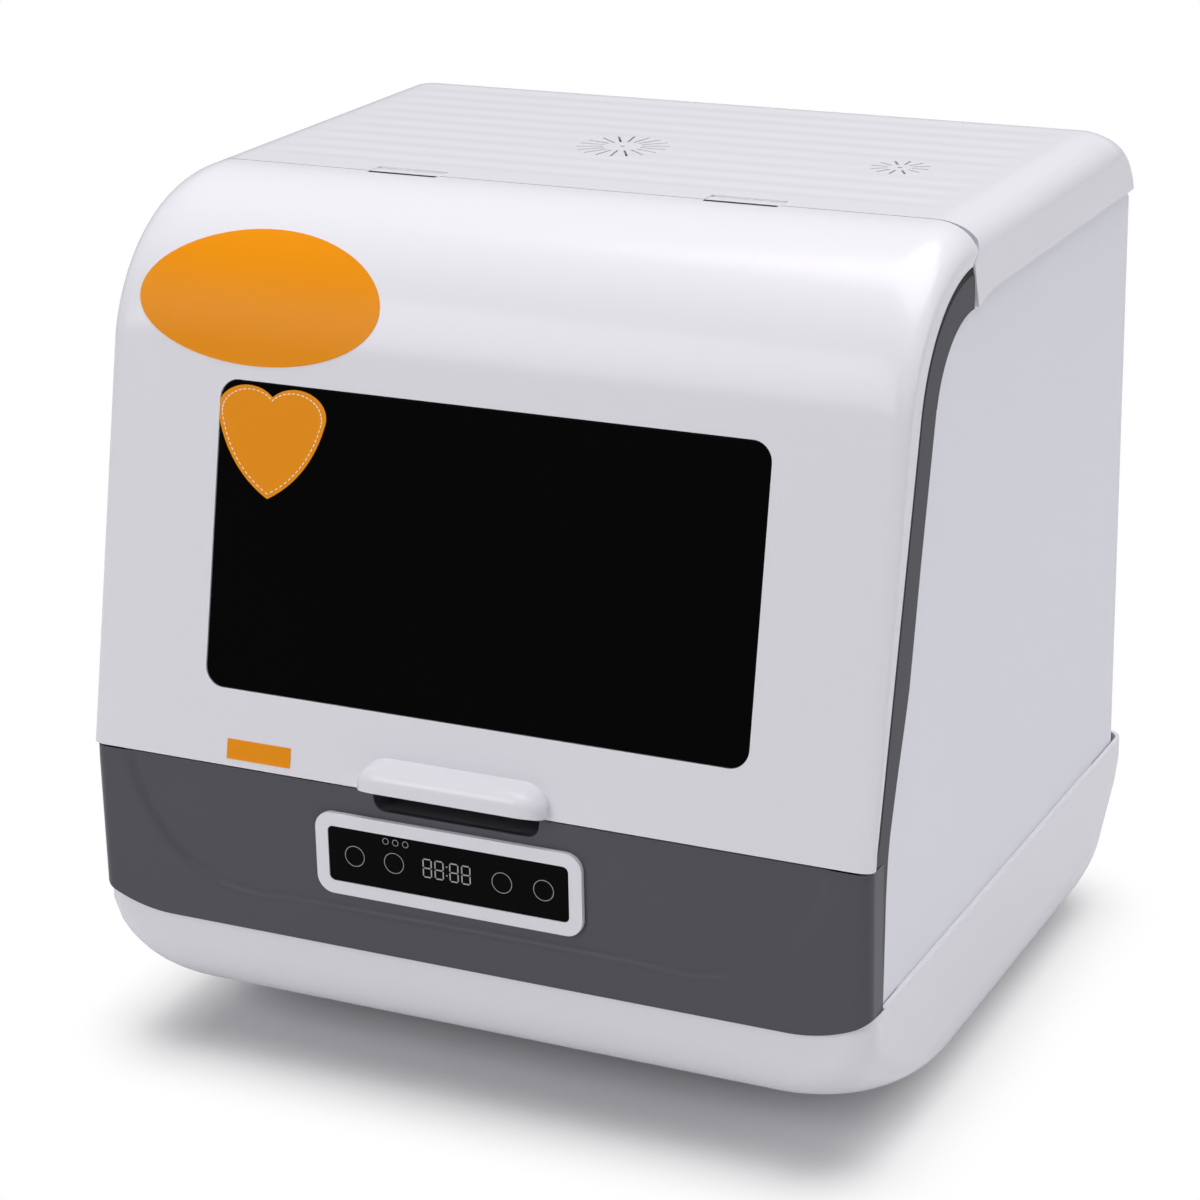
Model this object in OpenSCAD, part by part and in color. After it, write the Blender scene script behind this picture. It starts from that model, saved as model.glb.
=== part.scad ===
// Countertop dishwasher: white moulded cabinet, grey front frame and a curved lid-type door
// that swings up over the top cover. Millimetres, +Z up, front towards -Y, +X to the right
// seen from the front. The origin is on the resting surface, in the middle of the footprint.

/* [Cabinet] */
// Width over the base and the door
body_w = 420; // [410:1:440]
// Height from the resting surface to the top cover
body_h = 440; // [434:1:460]
// Depth of the base, front to back
base_d = 392; // [388:1:430]
// How far the back of the base stands out behind the side panels
base_ledge = 14; // [12:1:20]
// Height of the rubber feet below the base
foot_h = 7; // [5:0.5:12]
// Height of the seam between the base and the side panels
seam_z = 92; // [90:1:94]
// Wall of the moulded white shells
shell_wall = 2.2; // [1.8:0.1:2.6]
// Thickness of the painted steel side panels
panel_wall = 1; // [0.7:0.1:1.4]
// Height of the top cover's skirt, from its lower edge up to the top
skirt_h = 35.5; // [32:0.5:40]
// Sideways reach of the rounding along the long top edges
edge_round_w = 22; // [18:1:26]
// Drop of that rounding
edge_round_h = 17; // [14:1:20]
// Radius of the rounding along the top rear edge
rear_round = 38; // [28:1:42]

/* [Front frame] */
// Height of the lower edge of the grey front panel at the middle
fascia_bottom_z = 80; // [76:1:84]
// Wall of the grey front frame
frame_wall = 3; // [2.4:0.1:3.4]
// Width of the finger recess under the handle
recess_w = 92; // [80:1:100]
// Depth of the finger recess
recess_depth = 18; // [14:1:19]

/* [Door] */
// Height of the door's lower edge
door_bottom_z = 167; // [165:0.5:169]
// Backward lean of the flat lower part of the door, in degrees
door_lean = 12; // [11:0.25:12.5]
// Radius of the curve that turns the door into the top
door_arc_r = 88; // [84:1:92]
// Distance of the seam behind the front plane
door_seam_t = 131; // [129:0.5:133]
// Gap between the door's rear edge and the top cover
seam_gap = 2; // [1.9:0.1:2.6]
// Wall of the door shell
door_wall = 2.4; // [2:0.1:2.6]
// Width of the window glass
window_w = 291; // [270:1:296]
// Height of the window glass along the door
window_h = 152; // [140:1:156]
// Height of the window's lower edge
window_z = 205; // [203:1:212]
// Thickness of the window glass
glass_t = 4; // [3:0.5:4]
// Width of the handle lip
handle_w = 100; // [88:1:108]
// Reach of the handle in front of the front plane
handle_out = 14; // [12:1:18]
// Height of the handle lip
handle_h = 17; // [15:1:20]
// Width of one hinge tab
hinge_tab_w = 39; // [34:1:44]
// Distance of each hinge tab's middle from the middle plane
hinge_x = 91; // [80:1:100]
// Radius of the hinge knuckle
knuckle_r = 4.5; // [4.3:0.1:4.8]
// Radius of the hinge pins
hinge_pin_r = 1.5; // [1.2:0.1:1.7]

/* [Control panel] */
// Width of the white bezel
bezel_w = 145; // [130:1:160]
// Height of the white bezel
bezel_h = 43; // [38:1:46]
// Sideways place of the bezel's middle
bezel_x = -8.5; // [-15:0.5:5]
// Height of the bezel's middle
bezel_z = 130.5; // [126:0.5:132]
// Thickness of the bezel in front of the panel
bezel_t = 2.6; // [2:0.1:3.5]
// Width of the bezel's rim around the black glass
bezel_rim = 7; // [5:0.5:9]

/* [Wash tub] */
// Space on each side between the inside of the wash tub and the side of the cabinet
tub_side_gap = 34; // [30:1:40]
// Wall of the wash tub
tub_wall = 2; // [1.6:0.1:2.4]
// Height of the tub floor
tub_floor_z = 136; // [132:1:140]
// Space for the fan between the tub ceiling and the top of the cabinet
tub_top_gap = 28; // [27:0.5:31]
// Space for the pipes between the inside of the tub's back wall and the back of the cabinet
tub_rear_gap = 50; // [45:1:60]
// Height of the sill that the rack passes over
sill_z = 195; // [194:1:197]
// Bore of the threaded water inlet's pipe
inlet_bore = 14; // [10:0.5:16]
// Radius of the water inlet spigot, a G 3/4 thread outside
inlet_r = 13.2; // [12:0.1:13.6]
// Radius of the drain spigot
drain_r = 9; // [7:0.5:10]
// Length of both spigots behind the rear panel
spigot_l = 14; // [11:1:15]
// Clearance between the lower spray arm's sweep and the tub's front and back walls
lower_arm_gap = 19; // [17:1:45]
// Clearance between the upper spray arm's sweep and the tub's back wall
upper_arm_gap = 10; // [6:1:34]

/* [Rack] */
// Space between the dish rack and each side wall of the tub
rack_side_gap = 15; // [13:1:20]
// Space between the dish rack and the tub's back wall
rack_rear_gap = 34; // [30:1:50]
// Height of the dish rack
rack_h = 92; // [70:1:96]
// Thickness of the rack's wires
wire_t = 3; // [2.4:0.1:3.4]
// Free travel of the rack behind the closed door
rack_travel = 12; // [8:1:14]

/* [Hidden] */

// Small lengths that serve the drawing itself
eps = 0.01;
gap = 0.3;
far = 600;
$fn = 64;

// Front to back places are written as t, the distance behind the front plane of the grey panel.
front_y = handle_out - (base_d + handle_out) / 2;
cabinet_d = base_d - base_ledge;
half_w = body_w / 2;
skirt_z = body_h - skirt_h;
function Y(t) = front_y + t;

// Door skin: a leaning flat, an arc and a level top
door_out = 1;
arc_steps = 12;
arc_z = body_h - door_arc_r;
function at_depth(z, depth) = line_t(z) + depth / cos(door_lean);
function line_t(z) = (z - door_bottom_z) * tan(door_lean) - door_out;
arc_t = line_t(arc_z + door_arc_r * sin(door_lean)) + door_arc_r * cos(door_lean);
function arc_angle(i) = 180 - door_lean - i * (90 - door_lean) / arc_steps;
function mix(a, b, s) = a + (b - a) * s;
function skin_arc(front_depth, top_depth) = [for (i = [0:arc_steps])
    let(a = arc_angle(i), r = door_arc_r - mix(front_depth, top_depth, i / arc_steps))
    [arc_t + r * cos(a), arc_z + r * sin(a)]];
function arc_height(t, depth) = arc_z + sqrt(pow(door_arc_r - depth, 2) - pow(min(0, t - arc_t), 2));
function skin(depth, end_t, start_z) = concat(
    [[line_t(start_z) + depth / cos(door_lean), start_z]],
    [for (p = skin_arc(depth, depth)) if (p[0] < end_t) p],
    [[end_t, arc_height(end_t, depth)]]);
function backward(list) = [for (i = [len(list) - 1:-1:0]) list[i]];
function band(depth_a, depth_b, end_t, start_z) =
    concat(skin(depth_a, end_t, start_z), backward(skin(depth_b, end_t, start_z)));

// Edges seen from the side, as depth behind the skin at some heights
skirt_depths = [[door_bottom_z, 4.6], [240, 8.5], [370, 15]];
skirt_depth_top = 18.5;
strip_depths = [[seam_z, 17], [150, 20], [200, 26.5], [238, 33], [300, 34.5], [370, 38]];
strip_depth_top = 40;
function front_t(z) = z < door_bottom_z ? 0 : max(0, line_t(z));
straight_top_z = arc_z + door_arc_r * sin(door_lean);
function side_edge(depths, top_depth, extra, heights) = concat(
    [for (z = heights) [front_t(z) + lookup(z, depths) + extra, z]],
    [for (i = [1:arc_steps])
        let(a = arc_angle(i), s = i / arc_steps,
            d = mix(lookup(straight_top_z, depths) * cos(door_lean), top_depth, s) + extra)
        [arc_t + (door_arc_r - d) * cos(a), arc_z + (door_arc_r - d) * sin(a)]]);
skirt_heights = [door_bottom_z, 200, 240, 300, 350];
strip_heights = [seam_z, 150, 175, 200, 220, 238, 270, 300, 350];
skirt_edge = side_edge(skirt_depths, skirt_depth_top, 0, skirt_heights);
strip_front = side_edge(skirt_depths, skirt_depth_top, 1.2, skirt_heights);
strip_rear = side_edge(strip_depths, strip_depth_top, 0, strip_heights);

// The depth ladder of the door and the frame behind it
liner_depth = 11;
liner_t = 2;
seal_depth = liner_depth + liner_t + gap;
frame_depth = 15;
flange_depth = 33;
mouth_top_t = 112;

module side_sheet(x0, x1, points) {
    translate([x0, 0, 0])
        rotate([90, 0, 90])
            linear_extrude(x1 - x0)
                polygon([for (p = points) [Y(p[0]), p[1]]]);
}
module both_sides() {
    children();
    mirror([1, 0, 0])
        children();
}
module block(x0, x1, t0, t1, z0, z1) {
    translate([x0, Y(t0), z0])
        cube([x1 - x0, t1 - t0, z1 - z0]);
}
module post(x, t, z0, z1, r) {
    translate([x, Y(t), z0])
        cylinder(h = z1 - z0, r = r);
}
module rod_y(x, z, t0, t1, r) {
    translate([x, Y(t0), z])
        rotate([-90, 0, 0])
            cylinder(h = t1 - t0, r = r);
}
module rod_x(x0, x1, t, z, r) {
    translate([x0, Y(t), z])
        rotate([0, 90, 0])
            cylinder(h = x1 - x0, r = r);
}
module rounded_plate(w, h, r) {
    for (sx = [-1, 1], sy = [-1, 1])
        translate([sx * (w / 2 - r), sy * (h / 2 - r)])
            circle(r);
    square([w - 2 * r, h], center = true);
    square([w, h - 2 * r], center = true);
}
// A plate lying in the leaning flat of the door, measured from the window's middle
window_mid_z = window_z + window_h * cos(door_lean) / 2;
module on_door(depth, thickness) {
    translate([0, Y(line_t(window_mid_z)), window_mid_z])
        rotate([90 - door_lean, 0, 0])
            translate([0, 0, -depth - thickness])
                linear_extrude(thickness)
                    children();
}

// Outer envelope of door and top cover, shrunk by a wall; the long top edges are rounded
function inset(d, reach, drop) = d >= reach ? 0 : drop * (1 - sqrt(max(0, 1 - pow((reach - d) / reach, 2))));
front_round_w = 8;
front_round_h = 4;
slices = 8;
rear_steps = 6;
function envelope_profile(df, dt, dr, z0) = concat(
    [[line_t(z0) + df / cos(door_lean), z0]],
    skin_arc(df, dt),
    [for (i = [0:rear_steps]) let(a = 90 - i * 90 / rear_steps, r = rear_round - mix(dt, dr, i / rear_steps))
        [cabinet_d - rear_round + r * cos(a), body_h - rear_round + r * sin(a)]],
    [[cabinet_d - dr, z0]]);
function across(wall) = concat(
    [for (k = [slices:-1:0]) half_w - wall - edge_round_w * (1 - sin(90 * k / slices))],
    [for (k = [0:slices]) -(half_w - wall - edge_round_w * (1 - sin(90 * k / slices)))]);
module envelope(wall, z0) {
    loft([for (x = across(wall))
        let(d = half_w - wall - abs(x),
            front = wall + inset(d, front_round_w, front_round_h),
            top = wall + inset(d, edge_round_w, edge_round_h))
        [for (p = envelope_profile(front, top, front, z0)) [x, Y(p[0]), p[1]]]]);
}
// A solid through closed rings of equally many points
module loft(rings) {
    n = len(rings[0]);
    m = len(rings);
    polyhedron(
        points = [for (r = rings) each r],
        faces = concat(
            [[for (j = [0:n - 1]) j]],
            [for (i = [0:m - 2], j = [0:n - 1]) [i * n + j, (i + 1) * n + j, (i + 1) * n + (j + 1) % n]],
            [for (i = [0:m - 2], j = [0:n - 1]) [i * n + j, (i + 1) * n + (j + 1) % n, i * n + (j + 1) % n]],
            [[for (j = [n - 1:-1:0]) (m - 1) * n + j]]));
}

// Base: a bowl with a raised chin at the front and soft lower corners
base_z = foot_h;
chin_r = 280;
chin_angle = 28;
chin_t = 152;
chin_nose_r = (chin_t - chin_r * sin(chin_angle)) / (1 - sin(chin_angle));
base_side_r = 28;
base_rear_r = 20;
base_steps = 13;
chin_steps = 7;
corner_steps = 6;
function chin_level(i) = i <= chin_steps
    ? [chin_t - chin_r * sin(chin_angle * i / chin_steps),
       base_z + chin_r * (1 - cos(chin_angle * i / chin_steps))]
    : let(a = chin_angle + (90 - chin_angle) * (i - chin_steps) / (base_steps - chin_steps))
        [chin_nose_r * (1 - sin(a)),
         base_z + chin_r * (1 - cos(chin_angle)) + chin_nose_r * (cos(chin_angle) - cos(a))];
function level_inset(z, r) = z - base_z >= r ? 0 : r - sqrt(pow(r, 2) - pow(r - (z - base_z), 2));
// One level of the bowl: a rectangle with round corners, drawn in by a wall
function base_ring(t0, z, wall, lift) =
    let(side = half_w - wall - level_inset(z, base_side_r),
        rear = base_d - wall - level_inset(z, base_rear_r),
        front = t0 + wall,
        r = mix(46, 12, min(1, (z - base_z) / 60)) - wall)
    [for (q = [0:3], k = [0:corner_steps])
        let(a = q * 90 + k * 90 / corner_steps)
        [(q == 0 || q == 3 ? side - r : r - side) + r * cos(a),
         Y(q < 2 ? rear - r : front + r) + r * sin(a), z + lift]];
module base_bowl(wall, top_z) {
    loft(concat(
        [for (i = [0:base_steps]) let(level = chin_level(i)) base_ring(level[0], level[1], wall, wall)],
        [base_ring(0, top_z, wall, 0)]));
}
// Lower outline of the grey panel, seen from the front
fascia_curve_r = 80;
fascia_curve_x = half_w - sqrt(pow(fascia_curve_r, 2) - pow(fascia_curve_r - (seam_z - fascia_bottom_z), 2));
module fascia_outline(grow, top_z) {
    curve = [for (a = [0:3:asin((half_w - fascia_curve_x) / fascia_curve_r)])
        [fascia_curve_x + fascia_curve_r * sin(a), fascia_bottom_z - grow + fascia_curve_r * (1 - cos(a))]];
    polygon(concat(
        [for (p = curve) p], [[half_w + 1, seam_z - grow]], [[half_w + 1, top_z], [-half_w - 1, top_z]],
        [[-half_w - 1, seam_z - grow]], [for (p = backward(curve)) [-p[0], p[1]]]));
}
module front_view(t0, t1) {
    translate([0, Y(t1), 0])
        rotate([90, 0, 0])
            linear_extrude(t1 - t0)
                children();
}
fascia_return_t = 17;
fascia_side_x = half_w - 0.8;

// Places of the inner parts
rear_panel_t = cabinet_d - 5;
tub_front_t = 36;
tub_back_t = cabinet_d - tub_rear_gap;
tub_half = half_w - tub_side_gap;
tub_ceiling_z = body_h - tub_top_gap;
screen_r = 52;
sump_t = tub_front_t + tub_wall + 8 + screen_r;
sump_r = 36;
arm_t = sump_t + 85;
arm_room = min(tub_half, tub_back_t - arm_t, arm_t - tub_front_t - tub_wall);
riser_back_t = (tub_back_t + tub_wall + rear_panel_t) / 2;
pump_floor_z = 22;
volute_z = 84;
volute_h = 28;
riser_r = 9;
rack_z = sill_z + 4;
ledge_z = rack_z - gap;
rack_t0 = 62;
drain_pump_x = -92;
drain_pump_t = sump_t + 30;
drain_pump_z = 52;
drain_pump_rest = 26;
inlet_x = half_w - 68;
inlet_z = 128;
drain_x = -inlet_x;
drain_z = 112;
gland_x = 62;
gland_z = 116;
spigot_t = rear_panel_t + 3;
vent_x = -16;
vent_t = cabinet_d - 151;
vent_r = 24;
small_vent_x = half_w - 76;
small_vent_t = cabinet_d - 149;
small_vent_r = 15;
pin_clear = 0.05;
floor_z = base_z + shell_wall;
power_board_z = floor_z + 16;

module base_tray() {
    color("white") {
        difference() {
            base_bowl(0, seam_z);
            difference() {
                base_bowl(shell_wall, seam_z + 5);
                base_posts(0, seam_z);
                base_lip();
            }
            front_view(-1, fascia_return_t + gap)
                fascia_outline(gap, seam_z + 20);
            for (k = [-4:4])
                block(k * 16 - 3, k * 16 + 3, base_d - 142, base_d - 92, base_z - 1, floor_z + 1);
        }
        tub_posts(seam_z - 2, tub_floor_z - tub_wall);
    }
}
// Inner lip under the seam, which the side and rear panels stand on
module base_lip() {
    lip_w = 8;
    both_sides()
        block(half_w - lip_w, half_w, 40, cabinet_d - 40, seam_z - 5, seam_z);
    block(-half_w, half_w, rear_panel_t - 4, base_d, seam_z - 4, seam_z);
}
tub_post_x = tub_half - 14;
tub_posts_t = [tub_front_t + 42, tub_back_t - 28];
tub_post_r = 9;
module tub_posts(z0, z1) {
    for (sx = [-1, 1], t = tub_posts_t)
        post(sx * tub_post_x, t, z0, z1, tub_post_r);
}
board_rest_ts = [cabinet_d - 224, cabinet_d - 142];
module base_posts(z0, z1) {
    tub_posts(z0, z1);
    difference() {
        post(0, arm_t, z0, pump_floor_z, 30);
        post(0, arm_t, z0 - 1, pump_floor_z + 1, 24);
    }
    block(drain_pump_x - 16, drain_pump_x + 16, drain_pump_t - 10, drain_pump_t + 30,
        z0, drain_pump_z - drain_pump_rest);
    for (t = board_rest_ts)
        block(half_w - 114, half_w - 26, t, t + 6, z0, power_board_z);
}
foot_x = half_w - 72;
foot_ts = [chin_t + 13, base_d - 57];
module rubber_feet() {
    color("dimgray")
        for (sx = [-1, 1], t = foot_ts)
            post(sx * foot_x, t, 0, base_z, 13);
}

module front_panel() {
    color([0.33, 0.34, 0.36])
        difference() {
            union() {
                fascia();
                finger_pocket();
            }
            // finger recess, open at the front and at the top
            finger_space();
            // window for the display cable behind the bezel
            block(bezel_x - 40, bezel_x + 40, -1, frame_wall + 1, bezel_z - 8, bezel_z + 8);
        }
}
module face_frame() {
    color([0.33, 0.34, 0.36])
        difference() {
            union() {
                face_ring();
                outer_strips();
            }
            // slot for the latch tongue, and the hole of the switch plunger
            block(-8, 8, 10, 40, door_bottom_z + 1.5, latch_slot_z);
            rod_y(switch_x, switch_z, 0, 60, 3.4);
        }
}
fascia_corner_r = 6;
module fascia_plan(inner, depth) {
    translate([0, Y(0)])
        difference() {
            translate([0, (depth + fascia_corner_r) / 2])
                rounded_plate(2 * (fascia_side_x - inner), depth + fascia_corner_r - 2 * inner,
                    fascia_corner_r - 0.8 * inner);
            translate([-far / 2, depth])
                square([far, 20]);
        }
}
module fascia() {
    intersection() {
        difference() {
            translate([0, 0, fascia_bottom_z])
                linear_extrude(door_bottom_z - 1 - fascia_bottom_z)
                    fascia_plan(0, fascia_return_t);
            translate([0, 0, fascia_bottom_z - 1])
                linear_extrude(door_bottom_z - 1 - frame_wall - fascia_bottom_z + 1)
                    fascia_plan(frame_wall, fascia_return_t + 10);
        }
        front_view(-1, far)
            fascia_outline(0, door_bottom_z);
    }
    // sill plate from the front wall back to the tub
    block(-half_w + 12, half_w - 12, fascia_return_t - 1, tub_front_t - gap, door_bottom_z - 1 - frame_wall,
        door_bottom_z - 1);
}
module face_ring() {
    // face behind the door, with the mouth of the tub cut out
    difference() {
        side_sheet(-half_w + 4, half_w - 4, band(frame_depth, frame_depth + frame_wall, 150, door_bottom_z - 1));
        mouth_cut(tub_half, 0);
    }
    // returns that reach back to the tub's flange
    both_sides()
        side_sheet(tub_half, tub_half + frame_wall, band(frame_depth + 1, flange_depth, mouth_top_t, sill_z));
    side_sheet(-tub_half - frame_wall, tub_half + frame_wall,
        [[line_t(sill_z) + frame_depth / cos(door_lean) + 1, sill_z - frame_wall],
         [line_t(sill_z) + frame_depth / cos(door_lean) + 1, sill_z],
         [tub_front_t - gap, sill_z], [tub_front_t - gap, sill_z - frame_wall]]);
    block(-tub_half - frame_wall, tub_half + frame_wall, mouth_top_t, mouth_top_t + frame_wall,
        body_h - flange_depth, body_h - frame_depth - 1);
}
module mouth_cut(half, extra) {
    side_sheet(-half, half, concat(skin(frame_depth - 8, mouth_top_t - extra, sill_z + extra),
        backward(skin(flange_depth + 12, mouth_top_t - extra, sill_z + extra))));
}
module outer_strips() {
    both_sides()
        side_sheet(half_w - 8, half_w - 4.1, band(frame_depth + 1, 26, 150, door_bottom_z - 1));
    both_sides()
        side_sheet(half_w - 4.6, fascia_side_x, concat(
            [[fascia_return_t, seam_z]], [[fascia_return_t, door_bottom_z - 1]],
            [for (p = strip_front) p], backward(strip_rear)));
}
pocket_top_z = door_bottom_z - 1;
pocket_z = 156;
module finger_pocket() {
    block(-recess_w / 2 - frame_wall, recess_w / 2 + frame_wall, 1, recess_depth + frame_wall,
        pocket_z - frame_wall, pocket_top_z);
}
module finger_space() {
    front_view(-1, recess_depth)
        polygon([[-recess_w / 2 + 6, pocket_z], [recess_w / 2 - 6, pocket_z],
            [recess_w / 2, pocket_top_z + 5], [-recess_w / 2, pocket_top_z + 5]]);
}

module side_panel_outline() {
    side_sheet(half_w - shell_wall - gap - panel_wall, half_w - shell_wall - gap, concat(
        [for (p = strip_rear) [p[0] + gap, p[1]]],
        [[door_seam_t + seam_gap + 2, skirt_z + 8], [cabinet_d - 22, skirt_z + 8],
         [cabinet_d - 4, skirt_z - 4], [cabinet_d - 4, seam_z]]));
}
module left_side_panel() {
    color([0.85, 0.86, 0.88])
        mirror([1, 0, 0])
            side_panel_outline();
}
module right_side_panel() {
    color([0.85, 0.86, 0.88])
        side_panel_outline();
}
panel_inner_x = half_w - shell_wall - gap - panel_wall;
module rear_panel() {
    color([0.9, 0.9, 0.92])
        difference() {
            union() {
                block(-panel_inner_x, panel_inner_x, rear_panel_t, rear_panel_t + 2, seam_z, skirt_z - gap);
                block(11.5 - panel_inner_x, panel_inner_x - 11.5, rear_panel_t, rear_panel_t + 2, seam_z, skirt_z + 1.5);
                both_sides()
                    block(panel_inner_x - 2, panel_inner_x, rear_panel_t - 14, rear_panel_t, seam_z, skirt_z - 6);
            }
            rod_y(inlet_x, inlet_z, rear_panel_t - 5, rear_panel_t + 5, inlet_r + gap);
            rod_y(drain_x, drain_z, rear_panel_t - 5, rear_panel_t + 5, drain_r + gap);
            rod_y(gland_x, gland_z, rear_panel_t - 5, rear_panel_t + 5, 7.5);
            for (row = [0:6], col = [-2:2])
                block(col * 52 - 20, col * 52 + 20, rear_panel_t - 1, rear_panel_t + 3,
                    300 + row * 10, 304 + row * 10);
        }
}
rib_pitch = 19;
rib_first_t = 160;
rib_last_t = 350;
module top_cover() {
    color([0.93, 0.93, 0.95])
        difference() {
            ribbed_cover();
            radial_vent(vent_x, vent_t, vent_r, 18);
            radial_vent(small_vent_x, small_vent_t, small_vent_r, 12);
        }
}
module ribbed_cover() {
    difference() {
        notched_cover();
        // shallow grooves between the ribs
        for (t = [rib_first_t:rib_pitch:rib_last_t])
            if (abs(t - vent_t) > vent_r + 6)
                block(-half_w + 24, half_w - 24, t - 5, t + 5, body_h - 0.4, body_h + 1);
    }
}
module notched_cover() {
    difference() {
        union() {
            cover_shell();
            // ribs that rest on the frame's top bar
            for (x = [-150, 20])
                block(x, x + 130, 146, 148, body_h - frame_depth, body_h - shell_wall + eps);
        }
        // notches for the hinge tabs
        both_sides()
            block(hinge_x - hinge_tab_w / 2 - 0.8, hinge_x + hinge_tab_w / 2 + 0.8,
                door_seam_t, pivot_t + knuckle_r + 0.8, body_h - 14, body_h + 1);
    }
}
module cover_shell() {
    difference() {
        intersection() {
            envelope(0, seam_z);
            side_sheet(-far / 2, far / 2, [[door_seam_t + seam_gap, body_h + 1],
                [door_seam_t + seam_gap, skirt_z - 2.5], [door_seam_t + 14, skirt_z],
                [base_d, skirt_z], [base_d, body_h + 1]]);
        }
        envelope(shell_wall, seam_z);
    }
}
module radial_vent(x, t, r, count) {
    for (i = [0:count - 1])
        translate([x, Y(t), body_h - 5])
            rotate([0, 0, i * 360 / count])
                translate([r * 0.42, -0.8, 0])
                    cube([r * 0.58, 1.6, 8]);
    translate([x, Y(t), body_h - 5])
        cylinder(h = 8, r = 1.2);
}

// Wash tub with a flange around its mouth
tub_ceiling_t = mouth_top_t + frame_wall + gap;
function tub_side(wall) = concat(
    [[tub_front_t + wall, tub_floor_z - tub_wall + wall]],
    [[tub_front_t + wall, sill_z]],
    [for (p = skin(flange_depth + gap, tub_ceiling_t, sill_z)) p],
    [[tub_ceiling_t, tub_ceiling_z + tub_wall - wall]],
    [[tub_back_t + tub_wall - wall, tub_ceiling_z + tub_wall - wall]],
    [[tub_back_t + tub_wall - wall, tub_floor_z - tub_wall + wall]]);
module wash_tub() {
    color([0.8, 0.82, 0.84])
        difference() {
            union() {
                difference() {
                    side_sheet(-tub_half - tub_wall, tub_half + tub_wall, tub_side(0));
                    side_sheet(-tub_half, tub_half, tub_hollow());
                }
                tub_flange();
                both_sides()
                    block(tub_half - 10, tub_half + eps, rack_t0 - 10, tub_back_t, ledge_z - 4, ledge_z);
            }
            post(0, sump_t, tub_floor_z - 10, tub_floor_z + 10, sump_r + gap);
            post(0, arm_t, tub_floor_z - 10, tub_floor_z + 10, riser_r + 3 + gap);
            post(float_x, float_t, tub_floor_z - 10, tub_floor_z + 10, 4.3);
            post(vent_x, vent_t, tub_ceiling_z - 10, tub_ceiling_z + 10, 19);
            for (x = heater_leg_xs)
                post(x, heater_leg_t, tub_floor_z - 10, tub_floor_z + 10, heater_r + 0.8 + gap);
            rod_y(0, supply_z, tub_back_t - 5, tub_back_t + 5, supply_r + gap);
        }
}
// The hollow runs past the mouth so that the front and top corner stays open
function tub_hollow() = concat(
    [[tub_front_t + tub_wall, tub_floor_z]],
    [[tub_front_t + tub_wall, sill_z + 1]],
    [[tub_front_t - 30, sill_z + 1]],
    [for (p = skin(flange_depth - 5, tub_ceiling_t - 1, sill_z + 1)) p],
    [[tub_ceiling_t - 1, tub_ceiling_z]],
    [[tub_back_t, tub_ceiling_z]], [[tub_back_t, tub_floor_z]]);
module tub_flange() {
    both_sides()
        side_sheet(tub_half + tub_wall - eps, tub_half + 20,
            band(flange_depth + gap, flange_depth + gap + tub_wall, tub_ceiling_t, sill_z));
    block(-tub_half, tub_half, tub_ceiling_t, tub_ceiling_t + tub_wall, tub_ceiling_z + tub_wall - eps,
        arc_height(tub_ceiling_t, frame_depth + frame_wall) - gap);
}
module tub_seal() {
    seal_w = 6;
    seal_low_z = sill_z - 12;
    seal_x = tub_half + 8;
    color("darkslategray")
        difference() {
            side_sheet(-seal_x - seal_w, seal_x + seal_w,
                band(seal_depth, frame_depth, mouth_top_t + 10, seal_low_z));
            mouth_cut(seal_x, -4);
        }
}

module control_bezel() {
    color("white")
        difference() {
            front_plate(bezel_x, bezel_z, -bezel_t, 0, bezel_w, bezel_h, 9);
            front_plate(bezel_x, bezel_z, -bezel_t - 1, -bezel_t + 1.6, bezel_w - 2 * bezel_rim,
                bezel_h - 2 * bezel_rim, 3);
            block(bezel_x - 40, bezel_x + 40, -bezel_t - 1, 1, bezel_z - 8, bezel_z + 8);
        }
}
module front_plate(x, z, t0, t1, w, h, r) {
    translate([x, Y(t1), z])
        rotate([90, 0, 0])
            linear_extrude(t1 - t0)
                rounded_plate(w, h, r);
}
module control_glass() {
    color([0.03, 0.03, 0.04])
        front_plate(bezel_x, bezel_z, -bezel_t + 0.3, -bezel_t + 1.6, bezel_w - 2 * bezel_rim - 0.2,
            bezel_h - 2 * bezel_rim - 0.2, 2.8);
}
module display_module() {
    color("darkslategray") {
        front_plate(bezel_x, bezel_z, -bezel_t + 1.6, frame_wall + gap, 34, 14, 1);
        for (k = [-2:2])
            rod_y(bezel_x + k * 5, bezel_z - 3, frame_wall + gap - eps, frame_wall + 4, 0.6);
    }
}
module control_board() {
    board_t = frame_wall + 4;
    color("seagreen") {
        block(bezel_x - 60, bezel_x + 60, board_t, board_t + 1.6, bezel_z - 19, bezel_z + 18);
        for (sx = [-1, 1])
            rod_y(bezel_x + sx * 54, bezel_z - 14, frame_wall, board_t + eps, 3);
        for (sx = [-1, 1])
            rod_y(bezel_x + sx * 54, bezel_z + 12, frame_wall, board_t + eps, 3);
        block(bezel_x - 20, bezel_x + 4, board_t + 1.6 - eps, board_t + 5, bezel_z - 12, bezel_z + 4);
        for (k = [0:2])
            rod_y(bezel_x + 24 + k * 9, bezel_z, board_t + 1.6 - eps, board_t + 9, 3.4);
    }
}
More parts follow.
